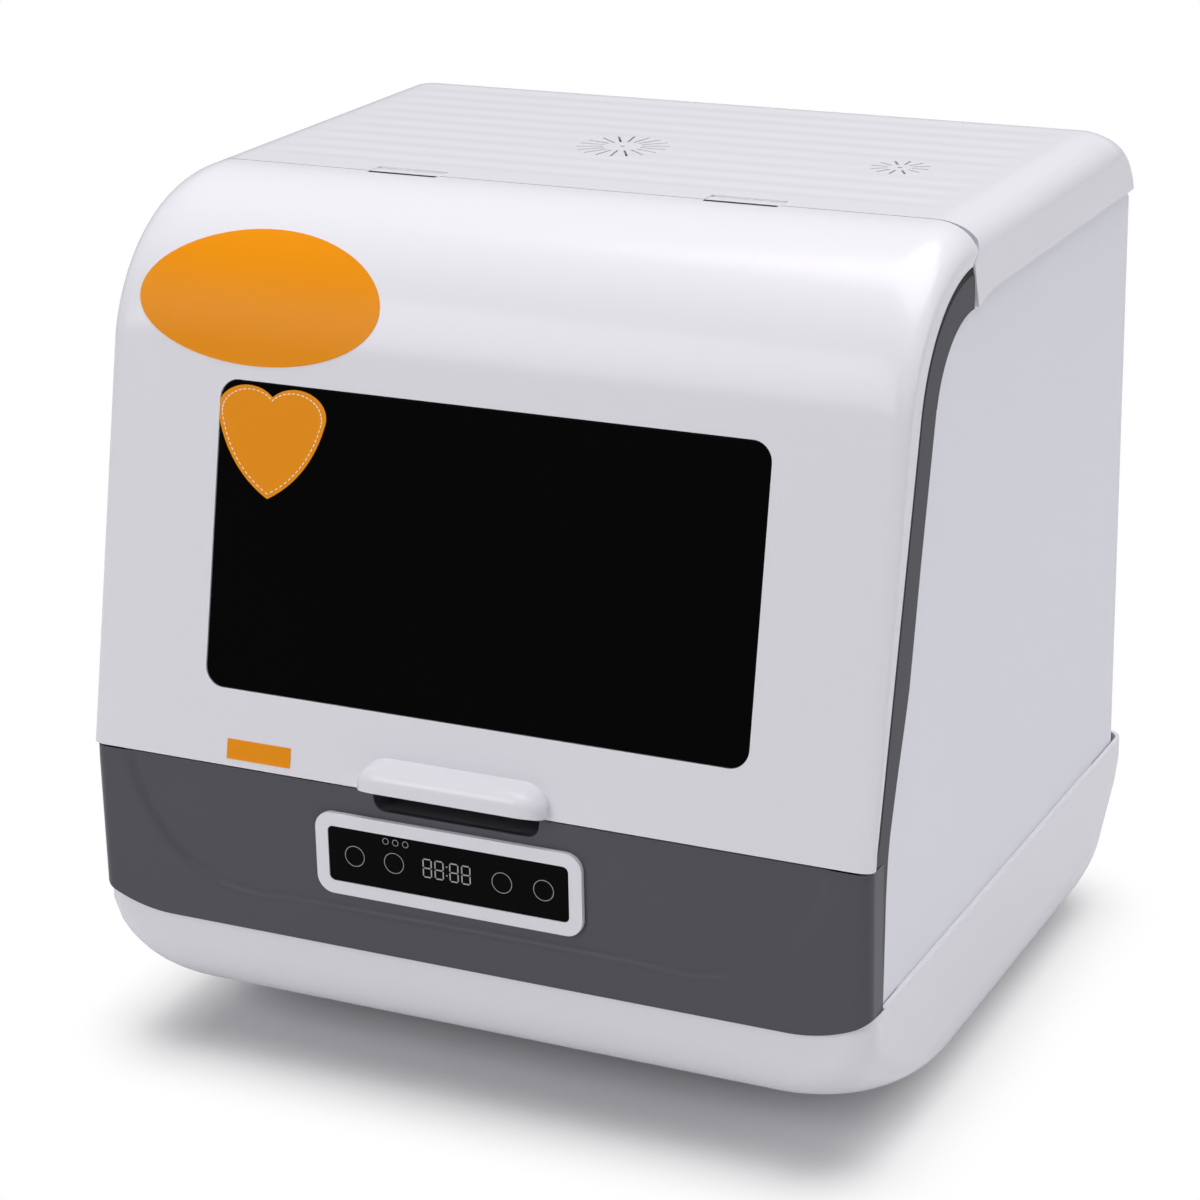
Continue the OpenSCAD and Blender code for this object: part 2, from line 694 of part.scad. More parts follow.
module power_board() {
    x0 = half_w - 118;
    t0 = cabinet_d - 232;
    part_z = power_board_z + 1.6 - eps;
    color("darkgreen") {
        block(x0, x0 + 96, t0, t0 + 100, power_board_z, power_board_z + 1.6);
        block(x0 + 12, x0 + 40, t0 + 14, t0 + 42, part_z, power_board_z + 26);
        for (k = [0:3])
            block(x0 + 52 + 11 * k, x0 + 60 + 11 * k, t0 + 10, t0 + 28, part_z, power_board_z + 16);
        for (k = [0:2])
            post(x0 + 20 + 16 * k, t0 + 76, part_z, power_board_z + 24, 6);
        block(x0 + 68, x0 + 90, t0 + 54, t0 + 90, part_z, power_board_z + 12);
    }
}

sump_bottom_z = 84;
module sump_cup() {
    color("lightgray")
        difference() {
            union() {
                post(0, sump_t, sump_bottom_z, tub_floor_z - tub_wall, sump_r);
                post(0, sump_t, tub_floor_z - tub_wall - 3, tub_floor_z - tub_wall, sump_r + 10);
                rod_y(0, suction_z, sump_t + sump_r - 6, sump_t + sump_r + 5, suction_r + 2);
                rod_x(-sump_r - 8, -sump_r + 6, sump_t, suction_z, suction_r);
            }
            post(0, sump_t, sump_bottom_z + 2.5, tub_floor_z + 1, sump_r - 2.5);
            rod_y(0, suction_z, sump_t + sump_r - 12, sump_t + sump_r + 10, suction_r - 2);
            rod_x(-sump_r - 9, -sump_r + 12, sump_t, suction_z, suction_r - 2.5);
        }
}
suction_r = 8;
suction_z = 98;
volute_t0 = arm_t - 38;
module suction_pipe() {
    color("dimgray")
        difference() {
            rod_y(0, suction_z, sump_t + sump_r + 1, volute_t0 - 1, suction_r + 4);
            rod_y(0, suction_z, sump_t + sump_r, volute_t0, suction_r + 2);
        }
}
sump_hose_points = [[-sump_r - 8, sump_t, suction_z], [drain_pump_x, sump_t, suction_z],
    [drain_pump_x, drain_pump_t - 48, suction_z], [drain_pump_x, drain_pump_t - 48, drain_pump_z],
    [drain_pump_x, drain_pump_t - 30, drain_pump_z]];
module sump_hose() {
    color("dimgray")
        difference() {
            hose(sump_hose_points, suction_r);
            hose_bore(sump_hose_points, suction_r - 2.5);
        }
}
filter_r = 29;
module filter_screen() {
    color([0.75, 0.77, 0.8])
        difference() {
            post(0, sump_t, tub_floor_z, tub_floor_z + 1.4, screen_r);
            post(0, sump_t, tub_floor_z - 1, tub_floor_z + 3, filter_r + gap + 0.5);
            post(0, arm_t, tub_floor_z - 1, tub_floor_z + 3, riser_r + 8);
            for (ring = [0:1], i = [0:23])
                translate([0, Y(sump_t), tub_floor_z - 1])
                    rotate([0, 0, i * 15 + ring * 7.5])
                        translate([38 + ring * 8, 0, 0])
                            cylinder(h = 4, r = 1.6, $fn = 16);
        }
}
module filter_cup() {
    cup_top = tub_floor_z + 7;
    color([0.35, 0.38, 0.42]) {
        difference() {
            post(0, sump_t, sump_bottom_z + 3.5, cup_top, filter_r);
            post(0, sump_t, sump_bottom_z + 6, cup_top + 1, filter_r - 2);
            for (i = [0:11])
                translate([0, Y(sump_t), sump_bottom_z + 10])
                    rotate([0, 0, i * 30])
                        translate([filter_r - 4, -2, 0])
                            cube([6, 4, 20]);
        }
        post(0, sump_t, tub_floor_z + 1.4 + gap, tub_floor_z + 4, filter_r + 3);
        block(-3, 3, sump_t - filter_r + 1, sump_t + filter_r - 1, cup_top - 3, cup_top + 4);
    }
}

// Pump under the middle of the tub, shaft upright; its riser carries the lower spray arm
volute_r = 38;
impeller_r = 26;
shaft_r = 3;
module wash_pump_volute() {
    color("silver")
        difference() {
            union() {
                post(0, arm_t, volute_z, volute_z + volute_h, volute_r);
                post(0, arm_t, volute_z + volute_h - eps, tub_floor_z + 26, riser_r + 3);
                post(0, arm_t, tub_floor_z - tub_wall - 5, tub_floor_z - tub_wall, riser_r + 12);
                rod_y(0, suction_z, volute_t0 - 3, volute_t0 + 8, suction_r + 2);
                supply_branch();
            }
            post(0, arm_t, volute_z + 3, volute_z + volute_h - 3, impeller_r + 6);
            post(0, arm_t, volute_z + volute_h - 4, tub_floor_z + 27, riser_r);
            post(0, arm_t, volute_z - 1, volute_z + 4, shaft_r + pin_clear);
            rod_y(0, suction_z, volute_t0 - 4, volute_t0 + 12, suction_r - 2);
        }
}
supply_r = 8;
supply_z = tub_ceiling_z - 12;
module supply_branch() {
    rod_y(0, volute_z + volute_h / 2, arm_t + 20, arm_t + volute_r + 8, supply_r);
}
module wash_impeller() {
    mid_z = volute_z + 5;
    color("orange") {
        post(0, arm_t, mid_z, mid_z + 3, impeller_r);
        for (i = [0:5])
            translate([0, Y(arm_t), mid_z + 3 - eps])
                rotate([0, 0, i * 60])
                    translate([shaft_r + 2, -1, 0])
                        cube([impeller_r - shaft_r - 4, 2, 10]);
        post(0, arm_t, pump_motor_top - 6, mid_z + 14, shaft_r);
    }
}
pump_motor_top = volute_z - 4;
motor_r = 34;
module wash_pump_motor() {
    color("dimgray")
        difference() {
            union() {
                post(0, arm_t, pump_floor_z, pump_motor_top, motor_r);
                post(0, arm_t, pump_motor_top - eps, volute_z, 14);
                for (i = [0:11])
                    translate([0, Y(arm_t), pump_floor_z + 8])
                        rotate([0, 0, i * 30])
                            translate([motor_r - 1, -1.2, 0])
                                cube([4, 2.4, pump_motor_top - pump_floor_z - 16]);
            }
            post(0, arm_t, pump_motor_top - 8, volute_z + 1, shaft_r + pin_clear);
        }
}
module drain_pump_body() {
    color("slategray")
        difference() {
            union() {
                rod_y(drain_pump_x, drain_pump_z, drain_pump_t - 14, drain_pump_t + 4, 24);
                rod_y(drain_pump_x, drain_pump_z, drain_pump_t + 4 - eps, drain_pump_t + 44, 20);
                block(drain_pump_x - 14, drain_pump_x + 14, drain_pump_t - 8, drain_pump_t + 28,
                    drain_pump_z - drain_pump_rest, drain_pump_z - 12);
                rod_y(drain_pump_x, drain_pump_z, drain_pump_t - 30, drain_pump_t - 12, 8);
                post(drain_pump_x + 14, drain_pump_t - 5, drain_pump_z + 10, drain_pump_z + 34, 7);
            }
            rod_y(drain_pump_x, drain_pump_z, drain_pump_t - 11, drain_pump_t + 1, 20);
            rod_y(drain_pump_x, drain_pump_z, drain_pump_t - 31, drain_pump_t - 10, 5.5);
            rod_y(drain_pump_x, drain_pump_z, drain_pump_t, drain_pump_t + 16, 2 + pin_clear);
            post(drain_pump_x + 14, drain_pump_t - 5, drain_pump_z, drain_pump_z + 35, 4.6);
        }
}
module drain_impeller() {
    color("tan") {
        rod_y(drain_pump_x, drain_pump_z, drain_pump_t - 1.5, drain_pump_t + 0.6, 14);
        rod_y(drain_pump_x, drain_pump_z, drain_pump_t + 0.5, drain_pump_t + 14, 2);
        for (i = [0:3])
            translate([drain_pump_x, Y(drain_pump_t - 10), drain_pump_z])
                rotate([0, i * 90, 0])
                    translate([1, 0, -1])
                        cube([14, 8.6, 2]);
        rod_y(drain_pump_x, drain_pump_z, drain_pump_t - 10, drain_pump_t - 1, 4);
    }
}

// A hose through [x, t, z] points, with round joints
module hose(points, r) {
    for (i = [0:len(points) - 2]) {
        a = points[i];
        b = points[i + 1];
        v = b - a;
        l = norm(v);
        translate([a[0], Y(a[1]), a[2]])
            rotate([0, acos(v[2] / l), atan2(v[1], v[0])])
                cylinder(h = l, r = r);
        if (i > 0)
            translate([a[0], Y(a[1]), a[2]])
                sphere(r);
    }
}
// The bore of such a hose, a little past both ends
module hose_bore(points, r) {
    for (i = [0:len(points) - 2]) {
        a = points[i];
        b = points[i + 1];
        v = b - a;
        l = norm(v);
        translate([a[0], Y(a[1]), a[2]])
            rotate([0, acos(v[2] / l), atan2(v[1], v[0])])
                translate([0, 0, -r / 2])
                    cylinder(h = l + r, r = r);
    }
}
drain_points = [[drain_pump_x + 14, drain_pump_t - 5, drain_pump_z + 34],
    [drain_pump_x + 14, drain_pump_t - 5, drain_z], [drain_x, drain_pump_t - 5, drain_z],
    [drain_x, rear_panel_t - 24, drain_z]];
module drain_hose() {
    color("lightgray")
        difference() {
            hose(drain_points, 7);
            hose_bore(drain_points, 4.6);
        }
}
module drain_spigot() {
    color("dimgray")
        difference() {
            union() {
                rod_y(drain_x, drain_z, rear_panel_t - 24, spigot_t, drain_r - 1);
                rod_y(drain_x, drain_z, spigot_t, spigot_t + spigot_l, drain_r);
                rod_y(drain_x, drain_z, rear_panel_t - 4, rear_panel_t, drain_r + 6);
            }
            rod_y(drain_x, drain_z, rear_panel_t - 25, spigot_t + spigot_l + 1, drain_r - 2.4);
        }
}
valve_t = rear_panel_t - 39;
inlet_hose_t = valve_t + 12;
module inlet_valve() {
    color("royalblue")
        difference() {
            union() {
                block(inlet_x - 16, inlet_x + 16, valve_t, rear_panel_t, inlet_z - 16, inlet_z + 16);
                rod_y(inlet_x, inlet_z, rear_panel_t - eps, spigot_t, inlet_r - 1.2);
                rod_y(inlet_x, inlet_z, spigot_t, spigot_t + spigot_l, inlet_r);
                post(inlet_x, valve_t + 20, inlet_z + 16 - eps, inlet_z + 50, 13);
                rod_x(inlet_x - 34, inlet_x - 15, inlet_hose_t, inlet_z, 6);
            }
            rod_y(inlet_x, inlet_z, rear_panel_t - 20, spigot_t + spigot_l + 1, inlet_bore / 2);
            rod_x(inlet_x - 35, inlet_x - 10, inlet_hose_t, inlet_z, 3);
            rod_y(inlet_x, inlet_z, inlet_hose_t, rear_panel_t - 19, 2.6);
        }
}
inlet_hose_x = 60;
inlet_nozzle_z = 250;
inlet_points = [[inlet_x - 34, inlet_hose_t, inlet_z], [inlet_hose_x, inlet_hose_t, inlet_z],
    [inlet_hose_x, inlet_hose_t, inlet_nozzle_z]];
module inlet_hose() {
    color("lightgray")
        difference() {
            union() {
                hose(inlet_points, 5);
                rod_y(inlet_hose_x, inlet_nozzle_z, tub_back_t + tub_wall, inlet_hose_t, 6);
            }
            hose_bore(inlet_points, 3.4);
            rod_y(inlet_hose_x, inlet_nozzle_z, tub_back_t + tub_wall - 1, inlet_hose_t, 3.4);
        }
}
supply_points = [[0, arm_t + volute_r + 8, volute_z + volute_h / 2],
    [0, riser_back_t, volute_z + volute_h / 2], [0, riser_back_t, supply_z],
    [0, tub_back_t + tub_wall, supply_z]];
upper_t = arm_t + 31;
module supply_pipe() {
    color("lightgray") {
        difference() {
            hose(supply_points, supply_r);
            hose_bore(supply_points, supply_r - 2);
        }
        difference() {
            union() {
                rod_y(0, supply_z, upper_t, tub_back_t + tub_wall + eps, supply_r - 0.5);
                post(0, upper_t, supply_z - 12, supply_z + 8, 10);
                block(-12, 12, tub_back_t - 3, tub_back_t, supply_z - 11.5, supply_z + 11.5);
                post(0, upper_t, supply_z - 27, supply_z - 11, 6);
                post(0, upper_t, supply_z - 30, supply_z - 27 + eps, 9);
                block(-2, 2, upper_t - 6, upper_t + 40, supply_z + 6, tub_ceiling_z);
            }
            rod_y(0, supply_z, upper_t + 6, tub_back_t + tub_wall + 1, supply_r - 2.5);
            post(0, upper_t, supply_z - 26, supply_z + 4, 4);
        }
    }
}
module spray_arm(t, z, reach, hub_r, bore_r, up) {
    translate([0, Y(t), z])
        difference() {
            union() {
                cylinder(h = 14, r = hub_r);
                for (side = [0, 180])
                    rotate([0, 0, side])
                        translate([0, -11, 3])
                            cube([reach - 11, 22, 8]);
                for (side = [-1, 1])
                    translate([side * (reach - 11), 0, 3])
                        cylinder(h = 8, r = 11);
            }
            translate([0, 0, -1])
                cylinder(h = 16, r = bore_r);
            for (side = [-1, 1], k = [0:4])
                translate([side * (reach - 16 - k * 20), (k % 2) * 6 - 3, up ? 8 : -1])
                    cylinder(h = 6, r = 1.4, $fn = 16);
        }
}
module lower_spray_arm() {
    color([0.55, 0.6, 0.66])
        spray_arm(arm_t, tub_floor_z + 11, arm_room - lower_arm_gap, 19, riser_r + 3 + 0.08, true);
}
module upper_spray_arm() {
    color([0.55, 0.6, 0.66])
        spray_arm(upper_t, supply_z - 27 + gap, tub_back_t - upper_t - upper_arm_gap, 14, 6 + 0.08, false);
}
heater_r = 3.2;
heater_ring_r = arm_room - 11;
heater_leg_xs = [-24, 24];
heater_leg_t = arm_t + sqrt(pow(heater_ring_r, 2) - pow(24, 2));
module heater_element() {
    ring_z = tub_floor_z + heater_r + 4;
    leg_angle = asin(24 / heater_ring_r);
    color("silver") {
        translate([0, Y(arm_t), ring_z])
            rotate([0, 0, 90 + leg_angle])
                rotate_extrude(angle = 360 - 2 * leg_angle)
                    translate([heater_ring_r, 0])
                        circle(heater_r, $fn = 32);
        for (x = heater_leg_xs)
            post(x, heater_leg_t, tub_floor_z - 26, ring_z + heater_r + 0.6, heater_r + 0.8);
        difference() {
            block(-34, 34, heater_leg_t - 9, heater_leg_t + 9, tub_floor_z - tub_wall - 4,
                tub_floor_z - tub_wall);
            block(-14, 14, heater_leg_t - 12, heater_leg_t + 12, tub_floor_z - 20, tub_floor_z - tub_wall - 2);
        }
        for (sx = [-1, 1])
            block(sx * heater_ring_r - 4, sx * heater_ring_r + 4, arm_t - 4, arm_t + 4, tub_floor_z, ring_z - 1);
    }
}
module cable_gland() {
    color("black")
        difference() {
            union() {
                rod_y(gland_x, gland_z, rear_panel_t - 6, rear_panel_t + 12, 7.2);
                rod_y(gland_x, gland_z, rear_panel_t + 2, rear_panel_t + 4, 10);
            }
            rod_y(gland_x, gland_z, rear_panel_t - 7, rear_panel_t + 13, 4);
        }
}

// Drying fan between the tub ceiling and the large vent
fan_z = tub_ceiling_z + tub_wall + 2;
fan_h = 15;
fan_half = 30;
module fan_gasket() {
    color("dimgray")
        difference() {
            post(vent_x, vent_t, tub_ceiling_z + tub_wall, fan_z, 29);
            post(vent_x, vent_t, tub_ceiling_z, fan_z + 1, 24);
        }
}
module fan_frame() {
    color([0.15, 0.15, 0.16])
        translate([vent_x, Y(vent_t), fan_z]) {
            difference() {
                translate([-fan_half, -fan_half, 0])
                    cube([2 * fan_half, 2 * fan_half, fan_h]);
                translate([0, 0, -1])
                    cylinder(h = fan_h + 2, r = 28);
                for (sx = [-1, 1], sy = [-1, 1])
                    translate([sx * 25, sy * 25, -1])
                        cylinder(h = fan_h + 2, r = 2.1);
            }
            difference() {
                union() {
                    cylinder(h = 3, r = 10);
                    for (a = [0:120:240])
                        rotate([0, 0, a])
                            translate([8, -1.5, 0])
                                cube([20.5, 3, 2.4]);
                }
                translate([0, 0, -1])
                    cylinder(h = 5, r = 1.5 + pin_clear);
            }
        }
}
module fan_rotor() {
    color("dimgray")
        translate([vent_x, Y(vent_t), fan_z]) {
            translate([0, 0, 3.4])
                cylinder(h = 10, r = 11);
            cylinder(h = 4, r = 1.5);
            for (i = [0:6])
                rotate([0, 0, i * 360 / 7])
                    translate([10, 0, 8.4])
                        rotate([35, 0, 0])
                            translate([0, -5, -0.6])
                                cube([16.5, 10, 1.2]);
        }
}

// Hinge: a lug on the frame inside each hollow door tab, and a pin through both
pivot_back = 6;
pivot_t = door_seam_t + pivot_back;
pivot_z = body_h - knuckle_r;
lug_w = 12;
lug_r = 3;
module hinge_brackets() {
    color("silver")
        both_sides()
            difference() {
                union() {
                    rod_x(hinge_x - lug_w / 2, hinge_x + lug_w / 2, pivot_t, pivot_z, lug_r);
                    block(hinge_x - lug_w / 2, hinge_x + lug_w / 2, pivot_t - lug_r, pivot_t,
                        body_h - frame_depth + 1, pivot_z);
                    block(hinge_x - 14, hinge_x + 14, pivot_t - 9, pivot_t + 7, body_h - frame_depth,
                        body_h - frame_depth + 2);
                }
                rod_x(hinge_x - lug_w, hinge_x + lug_w, pivot_t, pivot_z, hinge_pin_r + pin_clear);
            }
}
module hinge_pins() {
    color("gray")
        both_sides()
            rod_x(hinge_x - hinge_tab_w / 2 + 2, hinge_x + hinge_tab_w / 2 - 2, pivot_t, pivot_z, hinge_pin_r);
}
module hinge_tabs() {
    both_sides()
        difference() {
            union() {
                rod_x(hinge_x - hinge_tab_w / 2, hinge_x + hinge_tab_w / 2, pivot_t, pivot_z, knuckle_r);
                block(hinge_x - hinge_tab_w / 2, hinge_x + hinge_tab_w / 2, door_seam_t - 7, pivot_t,
                    pivot_z, body_h);
                block(hinge_x - hinge_tab_w / 2, hinge_x + hinge_tab_w / 2, door_seam_t - 7, door_seam_t,
                    pivot_z - 1.5, body_h);
            }
            // hollow around the lug, round about the pivot and open below
            rod_x(hinge_x - lug_w / 2 - 0.6, hinge_x + lug_w / 2 + 0.6, pivot_t, pivot_z, lug_r + 0.4);
            block(hinge_x - lug_w / 2 - 0.6, hinge_x + lug_w / 2 + 0.6, pivot_t - lug_r - 0.4,
                pivot_t + knuckle_r + 1, pivot_z - 9, pivot_z);
            rod_x(hinge_x - hinge_tab_w / 2 + 2, hinge_x + hinge_tab_w / 2 - 2, pivot_t, pivot_z, hinge_pin_r);
        }
}

switch_x = 56;
switch_z = 175;
switch_t = line_t(switch_z) + (frame_depth + frame_wall) / cos(door_lean) + 1.5;
plunger_r = 2;
module door_switch() {
    color("black")
        difference() {
            union() {
                block(switch_x - 10, switch_x + 10, switch_t, switch_t + 10, switch_z - 6, switch_z + 6);
                block(switch_x - 14, switch_x + 14, switch_t + 7, switch_t + 10,
                    door_bottom_z - 1, switch_z + 4);
            }
            rod_y(switch_x, switch_z, switch_t - 1, switch_t + 6.5, plunger_r + pin_clear);
        }
}
module switch_plunger() {
    color("red")
        rod_y(switch_x, switch_z, at_depth(switch_z + plunger_r, seal_depth), switch_t + 3, plunger_r);
}
// Snap catch: a sprung roller block beside the door's tongue
catch_z = 174;
latch_slot_z = sill_z - 12.5;
module catch_housing() {
    color("lightgray")
        difference() {
            union() {
                block(9, 34, 22, 34, catch_z - 6, catch_z + 7);
                block(9, 34, 22, 34, door_bottom_z - 1, catch_z);
            }
            rod_x(8, 28, 28, catch_z, 4 + pin_clear);
        }
}
module catch_roller() {
    color("gold")
        rod_x(6.6, 22, 28, catch_z, 4);
}
module latch_tongue() {
    root = liner_depth + liner_t;
    z0 = liner_z0 + 0.4;
    z1 = z0 + 4;
    color("whitesmoke") {
        side_sheet(-7, 7, [[at_depth(z0, root), z0], [at_depth(z0, root + 1.4), z0],
            [at_depth(z1 + 8, root + 1.4), z1 + 8], [at_depth(z1 + 8, root), z1 + 8]]);
        side_sheet(-5, 5.9, [[at_depth(z0, root), z0], [33, z0], [33, z1 - 1.5], [31, z1], [at_depth(z1, root), z1]]);
    }
}
float_x = 26 - tub_half;
float_t = 66;
module float_tube() {
    color("lightgray")
        difference() {
            union() {
                post(float_x, float_t, tub_floor_z - 30, tub_floor_z + 6, 4);
                post(float_x, float_t, tub_floor_z, tub_floor_z + 2, 9);
            }
            post(float_x, float_t, tub_floor_z - 31, tub_floor_z + 7, 1.6 + pin_clear);
        }
}
module float_dome() {
    color("whitesmoke")
        difference() {
            union() {
                post(float_x, float_t, tub_floor_z + 2.4, tub_floor_z + 18, 13);
                translate([float_x, Y(float_t), tub_floor_z + 18 - eps])
                    intersection() {
                        translate([0, 0, -9])
                            sphere(sqrt(250));
                        cylinder(h = 8, r = 13);
                    }
            }
            post(float_x, float_t, tub_floor_z + 1, tub_floor_z + 17, 11.4);
        }
    color("whitesmoke")
        post(float_x, float_t, tub_floor_z - 26, tub_floor_z + 18, 1.6);
}

// Dish rack of square wire, with two rows of tines that fold down and a cutlery basket
rack_x = tub_half - rack_side_gap;
rack_t1 = tub_back_t - rack_rear_gap;
rack_d = rack_t1 - rack_t0;
tine_h = 52;
tine_eye_ts = [rack_t0 + rack_d / 8, rack_t1 - rack_d / 8];
basket_x = rack_x - 53;
basket_w = 76;
tine_x = basket_x - basket_w / 2 - 8;
tine_z = rack_z + 8;
module wire(x0, x1, t0, t1, z0, z1) {
    block(x0 - wire_t / 2, x1 + wire_t / 2, t0 - wire_t / 2, t1 + wire_t / 2, z0 - wire_t / 2, z1 + wire_t / 2);
}
rack_low = rack_z + wire_t / 2;
rack_top = rack_z + rack_h - wire_t / 2;
rack_columns = 12;
rack_rows = 8;
function column_x(i) = -rack_x + i * 2 * rack_x / rack_columns;
function row_t(i) = rack_t0 + i * rack_d / rack_rows;
module rack_floor() {
    color([0.9, 0.9, 0.92]) {
        for (i = [0:rack_columns])
            wire(column_x(i), column_x(i), rack_t0, rack_t1, rack_low, rack_low);
        for (i = [0:rack_rows])
            wire(-rack_x, rack_x, row_t(i), row_t(i), rack_low, rack_low);
        // the long runners on the tub's ledges carry the rack
        both_sides()
            block(rack_x - wire_t / 2, tub_half - 1.2, rack_t0, rack_t1, rack_z, rack_z + wire_t);
    }
}
// Four walls that stand on the floor, and the eyes that hold the folding tine rows
module rack_walls() {
    wall_z = rack_z + wire_t;
    wall_x = rack_x - wire_t - pin_clear;
    color([0.9, 0.9, 0.92]) {
        both_sides() {
            for (z = [rack_low + rack_h / 2, rack_top])
                wire(rack_x, rack_x, rack_t0, rack_t1, z, z);
            for (i = [0:rack_rows])
                wire(rack_x, rack_x, row_t(i), row_t(i), wall_z + wire_t / 2, rack_top);
        }
        for (t = [rack_t0, rack_t1]) {
            for (z = [rack_low + rack_h / 2, rack_top])
                wire(-wall_x, wall_x, t, t, z, z);
            for (i = [1:rack_columns - 1])
                wire(column_x(i), column_x(i), t, t, wall_z + wire_t / 2, rack_top);
        }
        both_sides()
            for (t = tine_eye_ts)
                difference() {
                    block(tine_x - 5, tine_x + 5, t - 2, t + 2, wall_z, tine_z + 4);
                    rod_y(tine_x, tine_z, t - 3, t + 3, 2 + pin_clear);
                }
    }
}
module tine_row() {
    rod_y(tine_x, tine_z, tine_eye_ts[0] - 4, tine_eye_ts[1] + 4, 2);
    for (i = [1:8])
        post(tine_x, mix(tine_eye_ts[0], tine_eye_ts[1], i / 9), tine_z, tine_z + tine_h, 1.4);
}
module tines_right() {
    color([0.9, 0.9, 0.92])
        tine_row();
}
module tines_left() {
    color([0.9, 0.9, 0.92])
        mirror([1, 0, 0])
            tine_row();
}
basket_d = 66;
basket_t = rack_t0 + 12;
basket_h = 88;
module cutlery_basket() {
    z0 = rack_z + wire_t + gap;
    wall = 2;
    color([0.45, 0.5, 0.56])
        difference() {
            block(basket_x - basket_w / 2, basket_x + basket_w / 2, basket_t, basket_t + basket_d,
                z0, z0 + basket_h);
            for (i = [0:2])
                block(basket_x - basket_w / 2 + wall + i * (basket_w - wall) / 3,
                    basket_x - basket_w / 2 + (i + 1) * (basket_w - wall) / 3,
                    basket_t + wall, basket_t + basket_d - wall, z0 + wall, z0 + basket_h + 1);
        }
}

module door_shell() {
    color([0.95, 0.95, 0.97]) {
        difference() {
            union() {
                door_skin();
                door_sill();
            }
            on_door(-5, 14)
                rounded_plate(window_w + 2 * gap, window_h + 2 * gap, 10);
        }
        handle();
        hinge_tabs();
    }
}
module door_skin() {
    difference() {
        intersection() {
            envelope(0, seam_z);
            side_sheet(-far / 2, far / 2, concat(
                skin(-5, door_seam_t, door_bottom_z),
                [[door_seam_t, body_h - skirt_depth_top]], backward(skirt_edge)));
        }
        envelope(door_wall, seam_z);
    }
}
// Return along the door's lower edge
module door_sill() {
    side_sheet(-half_w + 9, half_w - 9, [
        [line_t(door_bottom_z) + 1, door_bottom_z], [line_t(door_bottom_z) + 10, door_bottom_z],
        [line_t(door_bottom_z) + 10, door_bottom_z + 2.4], [line_t(door_bottom_z) + 1, door_bottom_z + 2.4]]);
}
module handle() {
    top_z = door_bottom_z + handle_h;
    nose_r = 4;
    hull() {
        for (sx = [-1, 1]) {
            translate([sx * (handle_w / 2 - nose_r), Y(-handle_out + nose_r), door_bottom_z + 1])
                cylinder(h = 5, r = nose_r, $fn = 32);
            translate([sx * (handle_w / 2 - 9), Y(1), top_z - 2])
                sphere(2, $fn = 24);
            translate([sx * (handle_w / 2 - nose_r), Y(0), door_bottom_z + 1])
                cylinder(h = 5, r = 1, $fn = 24);
            translate([sx * (handle_w / 2 - 9), Y(-handle_out + 7), top_z - 5])
                sphere(3, $fn = 24);
        }
    }
}
module door_window() {
    color([0.02, 0.02, 0.03])
        on_door(0.5, glass_t)
            rounded_plate(window_w, window_h, 9.7);
}
module window_seal() {
    color("black")
        on_door(0.5 + glass_t, 1.8)
            difference() {
                rounded_plate(window_w - 1, window_h - 1, 9);
                rounded_plate(window_w - 20, window_h - 20, 6);
            }
}
liner_x = half_w - 12;
liner_z0 = door_bottom_z + 3.2;
liner_end_t = 127;
module door_liner() {
    color([0.8, 0.8, 0.83])
        difference() {
            union() {
                side_sheet(-liner_x, liner_x, band(liner_depth, liner_depth + liner_t, liner_end_t, liner_z0));
                both_sides()
                    side_sheet(liner_x - 2, liner_x, band(door_wall + 2.6, liner_depth + 1, liner_end_t - 8, liner_z0));
                on_door(0.5 + glass_t + 1.8, liner_depth - glass_t - 2.3 + 1)
                    rounded_plate(window_w - 6, window_h - 6, 9);
                // feet of the liner on the shell
                for (sx = [-1, 1], z = [door_bottom_z + 18, door_bottom_z + 93, arc_z + 13])
                    translate([sx * (half_w - 34), Y(line_t(z)), z])
                        rotate([90 - door_lean, 0, 0])
                            translate([0, 0, -liner_depth - 1])
                                cylinder(h = liner_depth + 1 - door_wall, r = 5);
            }
            on_door(0, 40)
                rounded_plate(window_w - 22, window_h - 22, 5);
        }
}
// Plain printed stickers, bare of words
sticker_t = 0.3;
module oval_sticker() {
    color("orange")
        intersection() {
            side_sheet(-far / 2, far / 2, band(-sticker_t, 0, arc_t, window_mid_z));
            front_view(-20, 200)
                translate([81 - half_w, body_h - 49])
                    oval(67, 30);
        }
}
module oval(a, b) {
    polygon([for (i = [0:47]) [a * cos(i * 7.5), b * sin(i * 7.5)]]);
}
module heart_sticker() {
    color("darkorange")
        on_door(0.5 - sticker_t, sticker_t)
            translate([30 - window_w / 2, window_h / 2 - 26])
                heart(28.5);
}
